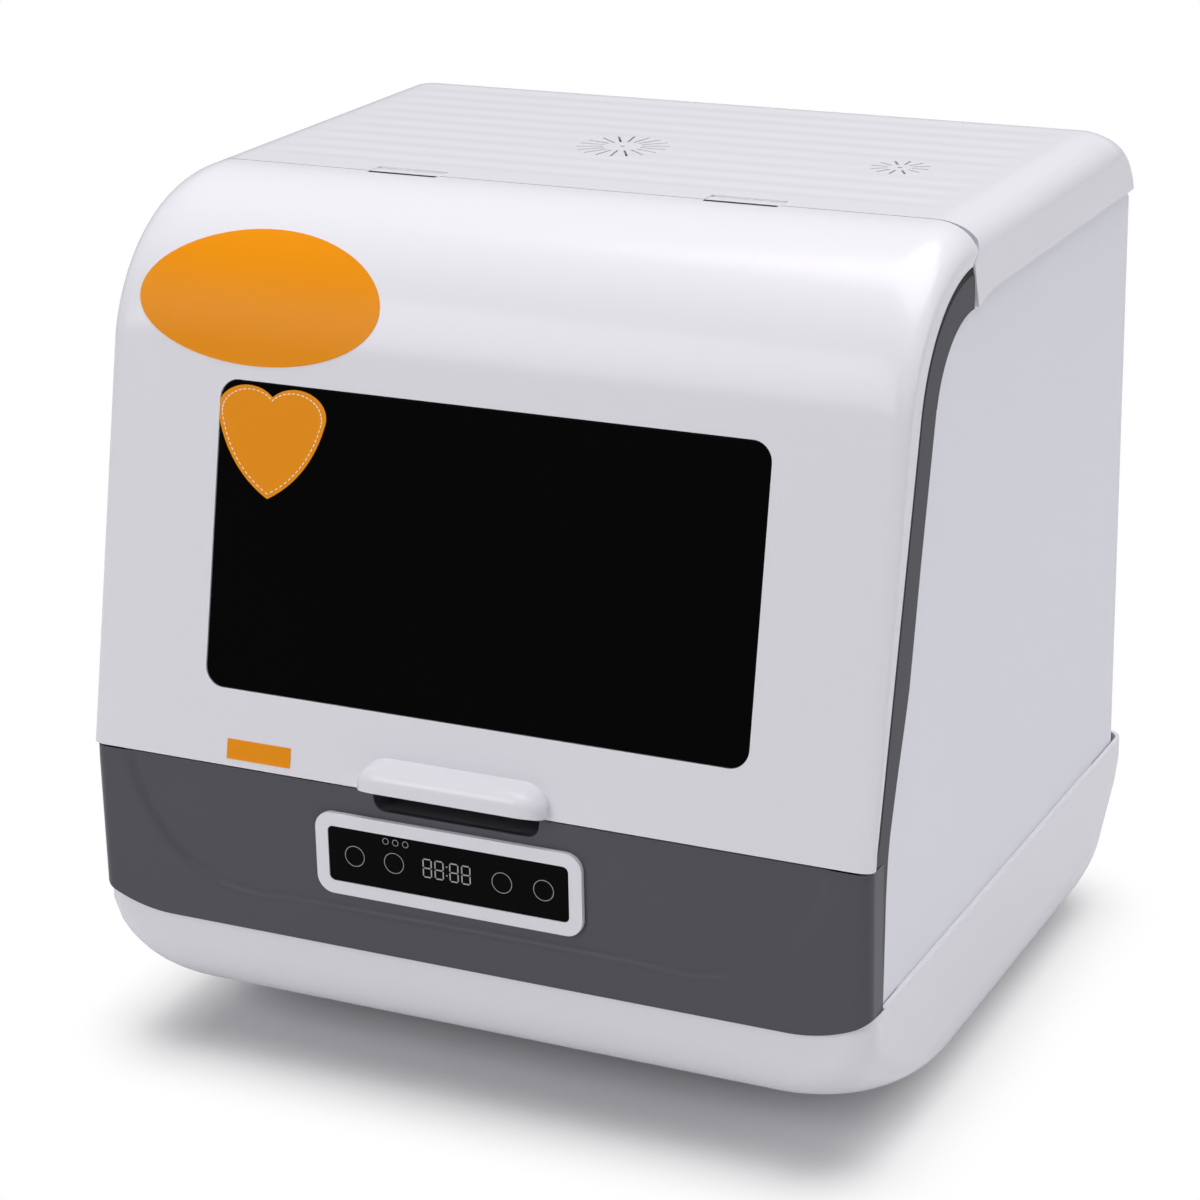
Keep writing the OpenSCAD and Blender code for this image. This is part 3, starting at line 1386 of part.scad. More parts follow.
// Heart of two lobes and a point
module heart(w) {
    for (sx = [-1, 1])
        translate([sx * w / 2, w * 0.3])
            circle(w / 2);
    polygon([[-w * 0.97, w * 0.13], [-w * 0.85, w * 0.05], [-w * 0.75, -w * 0.3], [-w * 0.4, -w * 0.75], [0, -w],
        [w * 0.4, -w * 0.75], [w * 0.75, -w * 0.3], [w * 0.85, w * 0.05], [w * 0.97, w * 0.13], [0, w * 0.35]]);
}
strip_z = door_bottom_z + 8.5;
module strip_sticker() {
    color("orange")
        translate([-113, Y(line_t(strip_z) - eps), strip_z])
            rotate([90 - door_lean, 0, 0])
                linear_extrude(sticker_t)
                        square([36, 10], center = true);
}
module cabinet_screws() {
    color("silver") {
        for (sx = [-1, 1], z = [seam_z + 12, seam_z + 158, body_h - 50])
            rod_y(sx * (panel_inner_x - 8), z, rear_panel_t + 2, rear_panel_t + 3.6, 3.4);
        for (sx = [-1, 1])
            rod_y(sx * 70, body_h - 50, rear_panel_t + 2, rear_panel_t + 3.6, 3.4);
    }
}

base_tray();
rubber_feet();
front_panel();
face_frame();
left_side_panel();
right_side_panel();
rear_panel();
top_cover();
wash_tub();
tub_seal();
control_bezel();
control_glass();
display_module();
control_board();
power_board();
sump_cup();
filter_screen();
filter_cup();
sump_hose();
heater_element();
wash_pump_volute();
wash_pump_motor();
wash_impeller();
suction_pipe();
drain_pump_body();
drain_impeller();
drain_hose();
drain_spigot();
supply_pipe();
inlet_valve();
inlet_hose();
cable_gland();
fan_frame();
fan_gasket();
fan_rotor();
hinge_brackets();
hinge_pins();
door_switch();
switch_plunger();
catch_housing();
catch_roller();
float_tube();
float_dome();
lower_spray_arm();
upper_spray_arm();
rack_floor();
rack_walls();
tines_left();
tines_right();
cutlery_basket();
door_shell();
door_window();
window_seal();
door_liner();
latch_tongue();
oval_sticker();
heart_sticker();
strip_sticker();
cabinet_screws();
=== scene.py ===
import math
import bpy
import bmesh
from mathutils import Matrix, Vector


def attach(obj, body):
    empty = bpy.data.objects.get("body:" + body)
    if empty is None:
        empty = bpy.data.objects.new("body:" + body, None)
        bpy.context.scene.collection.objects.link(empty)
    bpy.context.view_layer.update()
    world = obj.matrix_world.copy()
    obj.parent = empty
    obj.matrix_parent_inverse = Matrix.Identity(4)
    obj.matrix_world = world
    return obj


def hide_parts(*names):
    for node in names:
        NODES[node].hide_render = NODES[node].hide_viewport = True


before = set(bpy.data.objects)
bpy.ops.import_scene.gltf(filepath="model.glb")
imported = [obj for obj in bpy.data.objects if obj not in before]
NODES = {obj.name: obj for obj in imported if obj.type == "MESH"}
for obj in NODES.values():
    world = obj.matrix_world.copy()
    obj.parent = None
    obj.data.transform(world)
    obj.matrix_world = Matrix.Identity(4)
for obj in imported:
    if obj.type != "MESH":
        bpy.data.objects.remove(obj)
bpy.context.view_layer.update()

# ---------------------------------------------------------------- sizes, millimetres
# x runs across from the middle, t back from the front plane and z up from the table.
HALF, TOP = 210.0, 440.0                # half the width, and the height
FRONT_Y = -189.0                        # the front plane in the shared frame
SEAM = 92.0                             # where the cabinet meets the base
SKIRT_Z = 404.5                         # lower edge of the cover's sides
LEAN = math.radians(12)                 # the door's flat leans back by this
COS, SIN, TAN = math.cos(LEAN), math.sin(LEAN), math.tan(LEAN)
DOOR_Z = 167.0                          # lower edge of the door
ARC_R = 88.0                            # the door's bend into the top
ARC_Z = TOP - ARC_R
ARC_FROM, ARC_TO = 168, 90              # the bend's angles, from the flat to the top
TOP_REACH, TOP_DROP = 22.0, 17.0        # rounding along the top: in from the side, and down
FRONT_REACH, FRONT_DROP = 8.0, 4.0      # rounding along the front and the rear
REAR_R, CABINET_D = 38.0, 378.0         # the cover's rear bend, and the cabinet's depth
LEVEL_END = CABINET_D - REAR_R
DOOR_END_T, COVER_T = 131.0, 132.2      # either side of the seam between door and cover
SKIRT_TOP, STRIP_TOP = 18.5, 40         # how far below the top the skirt and the strip end
SKIN, INNER_SKIN = 2.2, 2.4             # walls of the cover and base, and of the door
GAP = 0.3                               # clearance round a piece that sits in another
SHADOW_BAND_FROM, SHADOW_BAND_TO = 1.2, 5.2           # the dark rubber band that paints the shadow line in the gap, in depth behind the door's skirt
STRIP_FROM = 4.8                        # and the grey side strip behind it
FRAME_T, TUB_T = 16.6, 35.7             # front of the side strips, and front of the tub
FRAME_WALL, RING_DEPTH, RING_END = 3, 15, 150       # the frame's ring, behind the door's line
MOUTH_X, MOUTH_END, MOUTH_LOW = 176, 112, 195       # the frame's opening into the tub
OUTER_X = MOUTH_X + FRAME_WALL
FAR = 99.0                              # a distance from the side that feels no rounding
VENTS = ((-16, 227, 24, 18), (134, 229, 15, 12))    # x, t, radius and number of slots
RIB_H, RIB_PITCH = 0.22, 19             # the faint waves on the top
EAR_DROP = 5.0                          # the cover's sides reach lower beside the door
WINDOW_W, WINDOW_H, WINDOW_LOW = 291, 152, 205
HANDLE_X, HANDLE_HALF, HANDLE_END = -4.0, 50, 14
HANDLE_FLAT = HANDLE_HALF - HANDLE_END
FRONT_X, FRONT_TOP = 209.2, 166.0       # half width and upper edge of the grey front
LOW_FLAT_X, LOW_Z, LOW_R = 167.9, 80.0, 80.0        # its lower edge: flat, then round
BASE_Z, BASE_REAR = 7.0, 392            # underside and rear of the base
CHIN_R, CHIN_A, CHIN_T = 305.0, math.radians(25.9), 152.0
NOSE_R = (CHIN_T - CHIN_R * math.sin(CHIN_A)) / (1 - math.sin(CHIN_A))
PANEL_X, PANEL_Z = -8.5, 130.5          # middle of the control panel
MARK_FRONT, MARK_BACK = -2.34, -2.26    # its printed rings stand in these depths

# Depth of an edge behind the door's line, by height.
SKIRT = [(DOOR_Z, 4.6), (240, 8.5), (370, 15)]
STRIP = [(SEAM, 17), (150, 20), (200, 26.5), (238, 33), (300, 34.5), (370, 38)]
# The crease in the grey front, as half of a front view.
SWOOSH = [(0, 100.5), (60, 100), (100, 99.5), (121, 98.5), (139, 101.5), (157, 110),
          (170, 122), (180, 137), (187, 152), (190.5, 168), (191, 175)]
CREASE_DEPTH = 1.9                      # how far the front stands out below it


def mix(a, b, s):
    return a + (b - a) * s


def smooth(a, b, x):
    s = max(0.0, min(1.0, (x - a) / (b - a)))
    return s * s * (3 - 2 * s)


def lookup(z, table):
    if z <= table[0][0]:
        return table[0][1]
    for (z0, v0), (z1, v1) in zip(table, table[1:]):
        if z <= z1:
            return mix(v0, v1, (z - z0) / (z1 - z0))
    return table[-1][1]


def place(x, t, z):
    """A point across, behind the front plane and up, in metres in the shared frame."""
    return Vector((x / 1000, (FRONT_Y + t) / 1000, z / 1000))


def both_sides(near, far):
    """A span on the left, then its mirror image on the right."""
    return (-far, -near), (near, far)


def circle(cx, cy, r, steps):
    return [(cx + r * math.cos(2 * math.pi * k / steps), cy + r * math.sin(2 * math.pi * k / steps))
            for k in range(steps)]


def arc(cx, cy, r, degrees):
    return [(cx + r * math.cos(math.radians(a)), cy + r * math.sin(math.radians(a)))
            for a in degrees]


def rounded_outline(w, h, r, steps=10):
    pts = []
    x, y = w / 2 - r, h / 2 - r
    for cx, cy, start in ((x, y, 0), (-x, y, 90), (-x, -y, 180), (x, -y, 270)):
        pts += arc(cx, cy, r, [start + 90 * k / steps for k in range(steps + 1)])
    return pts


# ---------------------------------------------------------------- the body's curves
def line_t(z):
    """Depth of the door's leaning flat."""
    return (z - DOOR_Z) * TAN - 1


STRAIGHT_Z = ARC_Z + ARC_R * SIN
ARC_T = line_t(STRAIGHT_Z) + ARC_R * COS
WINDOW_Z = WINDOW_LOW + WINDOW_H * COS / 2


def inset(d, reach, drop):
    """How far a skin falls away at a distance d in from the side."""
    return 0.0 if d >= reach else drop * (1 - math.sqrt(max(0.0, 1 - ((reach - d) / reach) ** 2)))


def door_profile(v, front, top):
    """v runs 0..1 up the flat, 1..2 round the arc and 2..3 along the level end."""
    if v <= 1:
        z = mix(DOOR_Z, ARC_Z + (ARC_R - front) * SIN, v)
        return line_t(z) + front / COS, z
    if v <= 2:
        a = math.radians(mix(ARC_FROM, ARC_TO, v - 1))
        r = ARC_R - mix(front, top, v - 1)
        return ARC_T + r * math.cos(a), ARC_Z + r * math.sin(a)
    return mix(ARC_T, DOOR_END_T, v - 2), TOP - top


def side_edge(v, table, top_depth, low_z=DOOR_Z, extra=0.0):
    """The door's profile seen from the side, set back by a table of depths."""
    if v <= 1:
        z = mix(low_z, STRAIGHT_Z, v)
        t = 0 if z < DOOR_Z else max(0.0, line_t(z))
        return t + lookup(z, table) + extra, z
    if v <= 2:
        a = math.radians(mix(ARC_FROM, ARC_TO, v - 1))
        d = mix(lookup(STRAIGHT_Z, table) * COS, top_depth, v - 1) + extra
        return ARC_T + (ARC_R - d) * math.cos(a), ARC_Z + (ARC_R - d) * math.sin(a)
    return mix(ARC_T, DOOR_END_T, v - 2), TOP - top_depth - extra


def skirt_edge(steps, extra, first=None):
    """The edge of the door's skirt from its foot to the top, moved back by extra."""
    low = extra if first is None else first
    return [side_edge(k / steps * 2, SKIRT, SKIRT_TOP, DOOR_Z, extra if k else low)
            for k in range(0, steps + 1)]


def seam_shift(drop):
    """How far the seam between door and cover curves forward on its way down the side."""
    q = drop / TOP_DROP
    return 7.0 * q ** 5 - 3.6 * math.sin(math.pi * q)


def seam_lead(top, wall):
    return seam_shift(min(TOP_DROP, top - wall))


def edge_distances():
    """Distances in from the side, packed where the edges are round."""
    found = {round(reach * (1 - math.cos(math.radians(90 * k / steps))), 4)
             for reach, steps in ((TOP_REACH, 12), (FRONT_REACH, 8)) for k in range(steps + 1)}
    kept = []
    for d in sorted(found):
        if not kept or d - kept[-1] > 0.05:
            kept.append(d)
    return kept


def across(wall, side_steps, middle, least=-1.0):
    """A row's spots from side to side: place, distance from the side, and sign of x.

    A spot on the upright side has "side" for its place and a share of its height instead.
    """
    xs = [HALF - wall - d for d in edge_distances() if d > least]
    half = [("side", s) for s in side_steps] + [(x, HALF - wall - x) for x in xs]
    half += [(x, FAR) for x in middle if x < xs[-1] - 2]
    return ([(k, v, 1) for k, v in half] + [(0.0, FAR, 1)]
            + [(k, v, -1) for k, v in reversed(half)])


# ---------------------------------------------------------------- mesh helpers
def shade(mesh, sharp_deg):
    """Smooth shading, with sharp edges above the given angle."""
    mesh.polygons.foreach_set("use_smooth", [True] * len(mesh.polygons))
    mesh.set_sharp_from_angle(angle=math.radians(sharp_deg))


def add_mesh(name, verts, faces, sharp_deg=30):
    mesh = bpy.data.meshes.new(name)
    mesh.from_pydata([tuple(v) for v in verts], [], faces)
    mesh.validate()
    bm = bmesh.new()
    bm.from_mesh(mesh)
    bmesh.ops.remove_doubles(bm, verts=bm.verts, dist=1e-6)
    bmesh.ops.recalc_face_normals(bm, faces=bm.faces)
    bm.to_mesh(mesh)
    bm.free()
    obj = bpy.data.objects.new(name, mesh)
    bpy.context.scene.collection.objects.link(obj)
    shade(mesh, sharp_deg)
    return obj


def grid_faces(rows, cols, start=0):
    corners = [start + i * cols + j for i in range(rows - 1) for j in range(cols - 1)]
    return [(a, a + 1, a + cols + 1, a + cols) for a in corners]


def closed_shell(name, outer, inner):
    """Two grids of equal size, joined round their rims."""
    rows, cols = len(outer), len(outer[0])
    verts = [p for row in outer for p in row] + [p for row in inner for p in row]
    off = rows * cols
    faces = grid_faces(rows, cols)
    faces += [tuple(reversed(f)) for f in grid_faces(rows, cols, off)]
    rim = list(range(cols)) + [i * cols + cols - 1 for i in range(1, rows)]
    rim += [(rows - 1) * cols + j for j in range(cols - 2, -1, -1)]
    rim += [i * cols for i in range(rows - 2, 0, -1)]
    for a, b in zip(rim, rim[1:] + rim[:1]):
        faces.append((b, a, a + off, b + off))
    return add_mesh(name, verts, faces)


def extruded_faces(n):
    """Two ends of n points each and the walls between them."""
    faces = [tuple(range(n)), tuple(range(2 * n - 1, n - 1, -1))]
    return faces + [(i, (i + 1) % n, n + (i + 1) % n, n + i) for i in range(n)]


def prism(name, points, low, high, axis="x"):
    """A side-view outline run across, or a front-view outline run in depth, or a plan run up."""
    def at(p, s):
        if axis == "x":
            return place(s, p[0], p[1])
        if axis == "t":
            return place(p[0], s, p[1])
        return place(p[0], p[1], s)
    verts = [at(p, low) for p in points] + [at(p, high) for p in points]
    return add_mesh(name, verts, extruded_faces(len(points)))


def box(name, x0, x1, t0, t1, z0, z1):
    return prism(name, [(x0, t0), (x1, t0), (x1, t1), (x0, t1)], z0, z1, axis="z")


def post(x, t, z0, z1, r):
    return prism("post", circle(x, t, r, 40), z0, z1, axis="z")


def on_door(u, v, depth):
    """A point of the leaning flat: across, up along the flat, and behind it."""
    z = WINDOW_Z + v * COS
    t = line_t(WINDOW_Z) + v * SIN
    return place(u, t + depth * COS, z - depth * SIN)


def door_plate(name, points, depth, thick):
    verts = [on_door(u, v, depth) for u, v in points]
    verts += [on_door(u, v, depth + thick) for u, v in points]
    return add_mesh(name, verts, extruded_faces(len(points)))


def front_plate(name, points, t0, t1):
    """An outline about the middle of the control panel, run in depth."""
    return prism(name, [(PANEL_X + x, PANEL_Z + z) for x, z in points], t0, t1, axis="t")


def join(name, parts):
    base = parts[0]
    bm = bmesh.new()
    for p in parts:
        bm.from_mesh(p.data)
    bm.to_mesh(base.data)
    bm.free()
    for p in parts[1:]:
        bpy.data.objects.remove(p)
    base.name = name
    shade(base.data, 30)
    return base


def bake(obj):
    """Turns the modifiers so far into plain mesh."""
    graph = bpy.context.evaluated_depsgraph_get()
    fresh = bpy.data.meshes.new_from_object(obj.evaluated_get(graph))
    obj.modifiers.clear()
    obj.data = fresh


def cut(obj, tool):
    mod = obj.modifiers.new("cut", "BOOLEAN")
    mod.object = tool
    mod.operation = "DIFFERENCE"
    mod.solver = "EXACT"
    bake(obj)
    bpy.data.objects.remove(tool)
    shade(obj.data, 30)


def soften(obj, width_mm, segments=2):
    """Small rounded edges; smooth shading follows the new surface."""
    mod = obj.modifiers.new("edges", "BEVEL")
    mod.width = width_mm / 1000
    mod.segments = segments
    mod.limit_method = "ANGLE"
    mod.angle_limit = math.radians(35)
    mod.harden_normals = False
    bake(obj)
    shade(obj.data, 50)
    return obj


# ---------------------------------------------------------------- materials
def linear(rgb):
    return tuple(c / 12.92 if c <= 0.04045 else ((c + 0.055) / 1.055) ** 2.4
                 for c in (v / 255 for v in rgb))


def material(name, rgb, rough, metallic=0.0, coat=0.0, vary=0.03, grain=300.0, bump=0.03,
             specular=0.5, spread=0.15):
    """Procedural finish: faint patches in the colour, a varied roughness and a fine grain."""
    mat = bpy.data.materials.new(name)
    mat.use_nodes = True
    nt = mat.node_tree
    shader = nt.nodes["Principled BSDF"]
    shader.inputs["Metallic"].default_value = metallic
    shader.inputs["Coat Weight"].default_value = coat
    shader.inputs["Coat Roughness"].default_value = 0.06
    shader.inputs["Specular IOR Level"].default_value = specular
    where = nt.nodes.new("ShaderNodeTexCoord")

    def noise(scale, detail):
        made = nt.nodes.new("ShaderNodeTexNoise")
        made.inputs["Scale"].default_value = scale
        made.inputs["Detail"].default_value = detail
        nt.links.new(where.outputs["Object"], made.inputs["Vector"])
        return made.outputs["Fac"]

    mixer = nt.nodes.new("ShaderNodeMix")
    mixer.data_type = "RGBA"
    base = linear(rgb)
    mixer.inputs["A"].default_value = (*[c * (1 - vary) for c in base], 1)
    mixer.inputs["B"].default_value = (*[min(1.0, c * (1 + vary)) for c in base], 1)
    nt.links.new(noise(9.0, 3.0), mixer.inputs["Factor"])
    nt.links.new(mixer.outputs["Result"], shader.inputs["Base Color"])
    fine = noise(grain, 2.0)
    ramp = nt.nodes.new("ShaderNodeMapRange")
    ramp.inputs["To Min"].default_value = max(0.02, rough * (1 - spread))
    ramp.inputs["To Max"].default_value = min(1.0, rough * (1 + spread))
    nt.links.new(fine, ramp.inputs["Value"])
    nt.links.new(ramp.outputs["Result"], shader.inputs["Roughness"])
    dent = nt.nodes.new("ShaderNodeBump")
    dent.inputs["Strength"].default_value = bump
    dent.inputs["Distance"].default_value = 0.0004
    nt.links.new(fine, dent.inputs["Height"])
    nt.links.new(dent.outputs["Normal"], shader.inputs["Normal"])
    return mat


WHITE = material("white_gloss", (227, 225, 231), 0.25, coat=0.08, vary=0.004, bump=0.002,
                 specular=0.26, spread=0.03)
WHITE_SATIN = material("white_satin", (218, 218, 222), 0.38, vary=0.01)
PANEL = material("painted_steel", (225, 225, 234), 0.36, vary=0.006, bump=0.006, spread=0.05)
GREY = material("grey_gloss", (83, 83, 89), 0.3, vary=0.01, bump=0.004, specular=0.15,
                spread=0.05)
# Painted light: the side strips are the same grey plastic as the front, given their own lighter
# colour to stand in for the light falling on these side faces.
STRIP_PAINTED_LIGHT = material("strip_grey_painted_light", (90, 90, 95), 0.45, vary=0.01, bump=0.004, specular=0.03,
                      spread=0.05)
# Painted shade: the finger pocket is the same grey plastic as the front, drawn darker to stand in
# for the shadow inside the recess.
RECESS_PAINTED_SHADE = material("recess_painted_shade", (76, 76, 80), 0.45, vary=0.02, specular=0.1)
BLACK_GLASS = material("black_glass", (8, 8, 8), 0.08, vary=0.1, bump=0.0, specular=0.03)
RUBBER = material("black_rubber", (34, 34, 36), 0.75, vary=0.06, bump=0.2)
GREY_RUBBER = material("grey_rubber", (96, 98, 102), 0.7, vary=0.05, bump=0.15)
ORANGE = material("orange_sticker", (234, 144, 2), 0.4, vary=0.012, bump=0.02, specular=0.16)
CREAM = material("sticker_white", (250, 236, 214), 0.5, vary=0.01, bump=0.02)
MARK = material("panel_mark", (168, 170, 172), 0.5, vary=0.01, bump=0.0)
STEEL = material("stainless", (196, 198, 202), 0.28, metallic=1.0, vary=0.012, grain=120,
                 bump=0.012)
MOTOR = material("motor_steel", (150, 152, 156), 0.36, metallic=1.0, vary=0.04, grain=160,
                 bump=0.08)
BOARD = material("circuit_board", (22, 88, 52), 0.5, vary=0.12, grain=500, bump=0.15)
DARK = material("dark_plastic", (44, 46, 50), 0.45, vary=0.05, bump=0.08)
LIGHT = material("light_plastic", (206, 210, 214), 0.42, vary=0.02, bump=0.06)
VALVE_BLUE = material("valve_blue", (38, 84, 168), 0.4, bump=0.05)
COATED_WIRE = material("rack_coating", (214, 217, 222), 0.35, vary=0.02, bump=0.05)


def finish_piece(obj, mat, body, slot, *nodes):
    obj.data.materials.clear()
    obj.data.materials.append(mat)
    even = obj.modifiers.new("even_shading", "WEIGHTED_NORMAL")
    even.keep_sharp = True
    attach(obj, body)
    if nodes:
        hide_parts(*nodes)


# ---------------------------------------------------------------- top cover
def rib_depth(x, t):
    """Faint waves along the top, kept off its edges and vents."""
    wave = smooth(150, 158, t) * (1 - smooth(352, 360, t)) * (1 - smooth(172, 186, abs(x)))
    for vx, vt, vr, _ in VENTS:
        wave *= smooth(vr + 4, vr + 12, math.hypot(x - vx, t - vt))
    return RIB_H * wave * (0.5 + 0.5 * math.cos(2 * math.pi * (t - 160) / RIB_PITCH))


def cover_skin(wall):
    spots = [("level", i / 96) for i in range(97)] + [("rear", i / 18) for i in range(1, 19)]
    line = across(wall, (0.0, 0.5), (180, 174, 166, 150, 120, 90, 60, 30))
    rows = []
    for kind, s in spots:
        row = []
        for k, v, sign in line:
            d = 0.0 if k == "side" else v
            x = HALF - wall if k == "side" else k
            top = wall + inset(d, TOP_REACH, TOP_DROP)
            rear = wall + inset(d, FRONT_REACH, FRONT_DROP)
            low = SKIRT_Z
            if kind == "level":
                t, z = mix(COVER_T - seam_lead(top, wall), LEVEL_END, s), TOP - top
                if wall == 0:
                    z -= rib_depth(sign * x, t)
                if k == "side":
                    t = mix(mix(COVER_T, LEVEL_END, s), t, v)
                    low = SKIRT_Z - EAR_DROP * (1 - smooth(126, 156, t))
            else:
                foot = math.asin((SKIRT_Z - (TOP - REAR_R)) / (REAR_R - rear))
                a = mix(math.pi / 2, foot, s)
                r = REAR_R - mix(top, rear, s)
                t, z = LEVEL_END + r * math.cos(a), max(TOP - REAR_R + r * math.sin(a), SKIRT_Z)
            if k == "side":
                z = mix(low, z, v)
            row.append(place(sign * x, t, z))
        rows.append(row)
    return rows


def vent_cutters():
    """A ring of radial slots round a small hole, for each vent."""
    made = []
    for vx, vt, vr, count in VENTS:
        for i in range(count):
            a = 2 * math.pi * i / count
            c, s = math.cos(a), math.sin(a)
            pts = [(vr * 0.42, -0.6), (vr, -0.6), (vr, 0.6), (vr * 0.42, 0.6)]
            pts = [(vx + c * u - s * w, vt + s * u + c * w) for u, w in pts]
            made.append(prism("slot", pts, 434, 445, axis="z"))
        made.append(prism("slot", circle(vx, vt, 1.3, 16), 434, 445, axis="z"))
    return join("cutters", made)


def flange_grid(wall):
    """A lip under the door's rear edge, so that the seam shows a pale bottom."""
    line = across(wall, (), (180, 150, 120, 90, 60, 30), least=0.4)
    return [[place(sign * x, t, TOP - wall - inset(d, TOP_REACH, TOP_DROP)) for x, d, sign in line]
            for t in (127.6, 131, 136)]


TABS = both_sides(71.5, 110.5)
TAB_R, TAB_GAP = 4.5, 0.25              # the tab's round end, and the room it has
PIN_T, PIN_Z = 137, 435.5               # the hinge pin at its middle
cover = closed_shell("top_cover_shell", cover_skin(0), cover_skin(SKIN))
cut(cover, vent_cutters())
soften(cover, 0.55, segments=3)
tab_rear = PIN_T + TAB_R + TAB_GAP
cut(cover, join("tab_gaps", [box("gap", lo - TAB_GAP, hi + TAB_GAP, 128, tab_rear, 426, 441)
                             for lo, hi in TABS]))
ribs = [box("rib", x, x + 130, 146, 148, 425, 437.9) for x in (-150, 20)]
flange = closed_shell("flange", flange_grid(3.0), flange_grid(4.2))
cut(flange, join("tab_room", [box("room", lo - 1.5, hi + 1.5, 120, 142, 420, 441)
                              for lo, hi in TABS]))
cover = join("top_cover_shell", [cover, flange] + ribs)
finish_piece(cover, WHITE, "cabinet", "white_gloss", "top_cover")


# ---------------------------------------------------------------- door shell
def door_skin(wall):
    line = across(wall, (0.0, 0.4), (180, 174, 160, 146, 120, 90, 60, 30))
    steps = [i / 24 for i in range(25)] + [1 + i / 36 for i in range(1, 37)] + [2.5, 3.0]
    rows = []
    for v in steps:
        row = []
        for k, d, sign in line:
            skirt = k == "side"
            x = HALF - wall if skirt else k
            dist = 0.0 if skirt else d
            front = wall + inset(dist, FRONT_REACH, FRONT_DROP)
            top = wall + inset(dist, TOP_REACH, TOP_DROP)
            t, z = door_profile(v, front, top)
            limit = DOOR_END_T - seam_lead(top, wall)
            if t > limit:
                t = limit - (DOOR_END_T - t) * 0.02
            if skirt:
                et, ez = side_edge(v, SKIRT, SKIRT_TOP)
                t, z = mix(min(et, limit - 1.5), t, d), mix(ez, z, d)
            row.append(place(sign * x, t, z))
        rows.append(row)
    return rows


def tab(lo, hi):
    """A hinge tab that reaches back through the cover to its pin."""
    under = TOP - INNER_SKIN
    pts = [(124, under), (124, TOP), (136, TOP)]
    pts += arc(PIN_T, PIN_Z, TAB_R, range(90, -91, -15))
    pts += [(134, PIN_Z - TAB_R), (134, under)]
    return soften(prism("tab", pts, lo, hi), 0.5)


def handle_section(x):
    """The lip's outline at x: f falls from 1 to 0 round either end."""
    e = max(0.0, abs(x) - HANDLE_FLAT) / HANDLE_END
    f = math.sqrt(max(0.0, 1 - e * e))
    nose, top_z, low_z = 3 + 11 * f ** 0.8, 171.5 + 11.5 * f ** 0.9, 168 + 3.0 * f
    r_top, r_low = 2.4 + 4.2 * f, 0.9
    outline = [(1.5, 168.0), (-nose + r_low, low_z)]
    for q in (30, 60, 90):
        c, w = math.cos(math.radians(q)), math.sin(math.radians(q))
        outline.append((-nose + r_low * (1 - w), low_z + r_low * (1 - c)))
    for q in range(0, 91, 10):
        c, w = math.cos(math.radians(q)), math.sin(math.radians(q))
        outline.append((-nose + r_top * (1 - c) * 1.15, top_z - r_top + r_top * w))
    return outline + [(-nose * 0.3, top_z + 0.25 * f), (line_t(top_z) + 1.4, top_z + 0.7 * f)]


def handle():
    """A full rounded lip along the door's lower edge: sections across, round at both ends."""
    turns = [HANDLE_END * (1 - math.cos(math.radians(a))) for a in range(0, 91, 6)]
    xs = [-HANDLE_HALF + d for d in turns]
    xs += [-HANDLE_FLAT + 2 * HANDLE_FLAT * i / 20 for i in range(1, 20)]
    xs += [HANDLE_HALF - d for d in reversed(turns)]
    rows = [[place(x + HANDLE_X, t, z) for t, z in handle_section(x)] for x in xs]
    cols, n = len(rows[0]), len(rows) - 1
    faces = []
    for i in range(n):
        for j in range(cols):
            a, b = i * cols + j, i * cols + (j + 1) % cols
            faces.append((a, b, b + cols, a + cols))
    faces.append(tuple(range(cols)))
    faces.append(tuple(range(n * cols + cols - 1, n * cols - 1, -1)))
    return add_mesh("handle", [p for row in rows for p in row], faces, 50)


door = closed_shell("door_shell_skin", door_skin(0), door_skin(INNER_SKIN))
opening = rounded_outline(WINDOW_W + 2 * GAP, WINDOW_H + 2 * GAP, 10, 12)
cut(door, door_plate("hole", opening, -5, 14))
soften(door, 0.6, segments=3)
sill_top = DOOR_Z + INNER_SKIN
sill = prism("sill", [(0, DOOR_Z), (9, DOOR_Z), (9, sill_top), (0, sill_top)], -201, 201)
door = join("door_shell_skin", [door, sill] + [tab(lo, hi) for lo, hi in TABS] + [handle()])
finish_piece(door, WHITE, "door", "white_gloss", "door_shell")

glass = door_plate("door_glass", rounded_outline(WINDOW_W, WINDOW_H, 9.7, 12), 0.5, 4)
soften(glass, 0.5, segments=3)
finish_piece(glass, BLACK_GLASS, "door", "black_glass", "door_window")


# ---------------------------------------------------------------- stickers
def skin_at(z):
    """Depth of the door's skin at a height, and its outward direction there."""
    if z <= STRAIGHT_Z:
        return line_t(z), (-COS, SIN)
    a = math.pi - math.asin((z - ARC_Z) / ARC_R)
    return ARC_T + ARC_R * math.cos(a), (math.cos(a), math.sin(a))


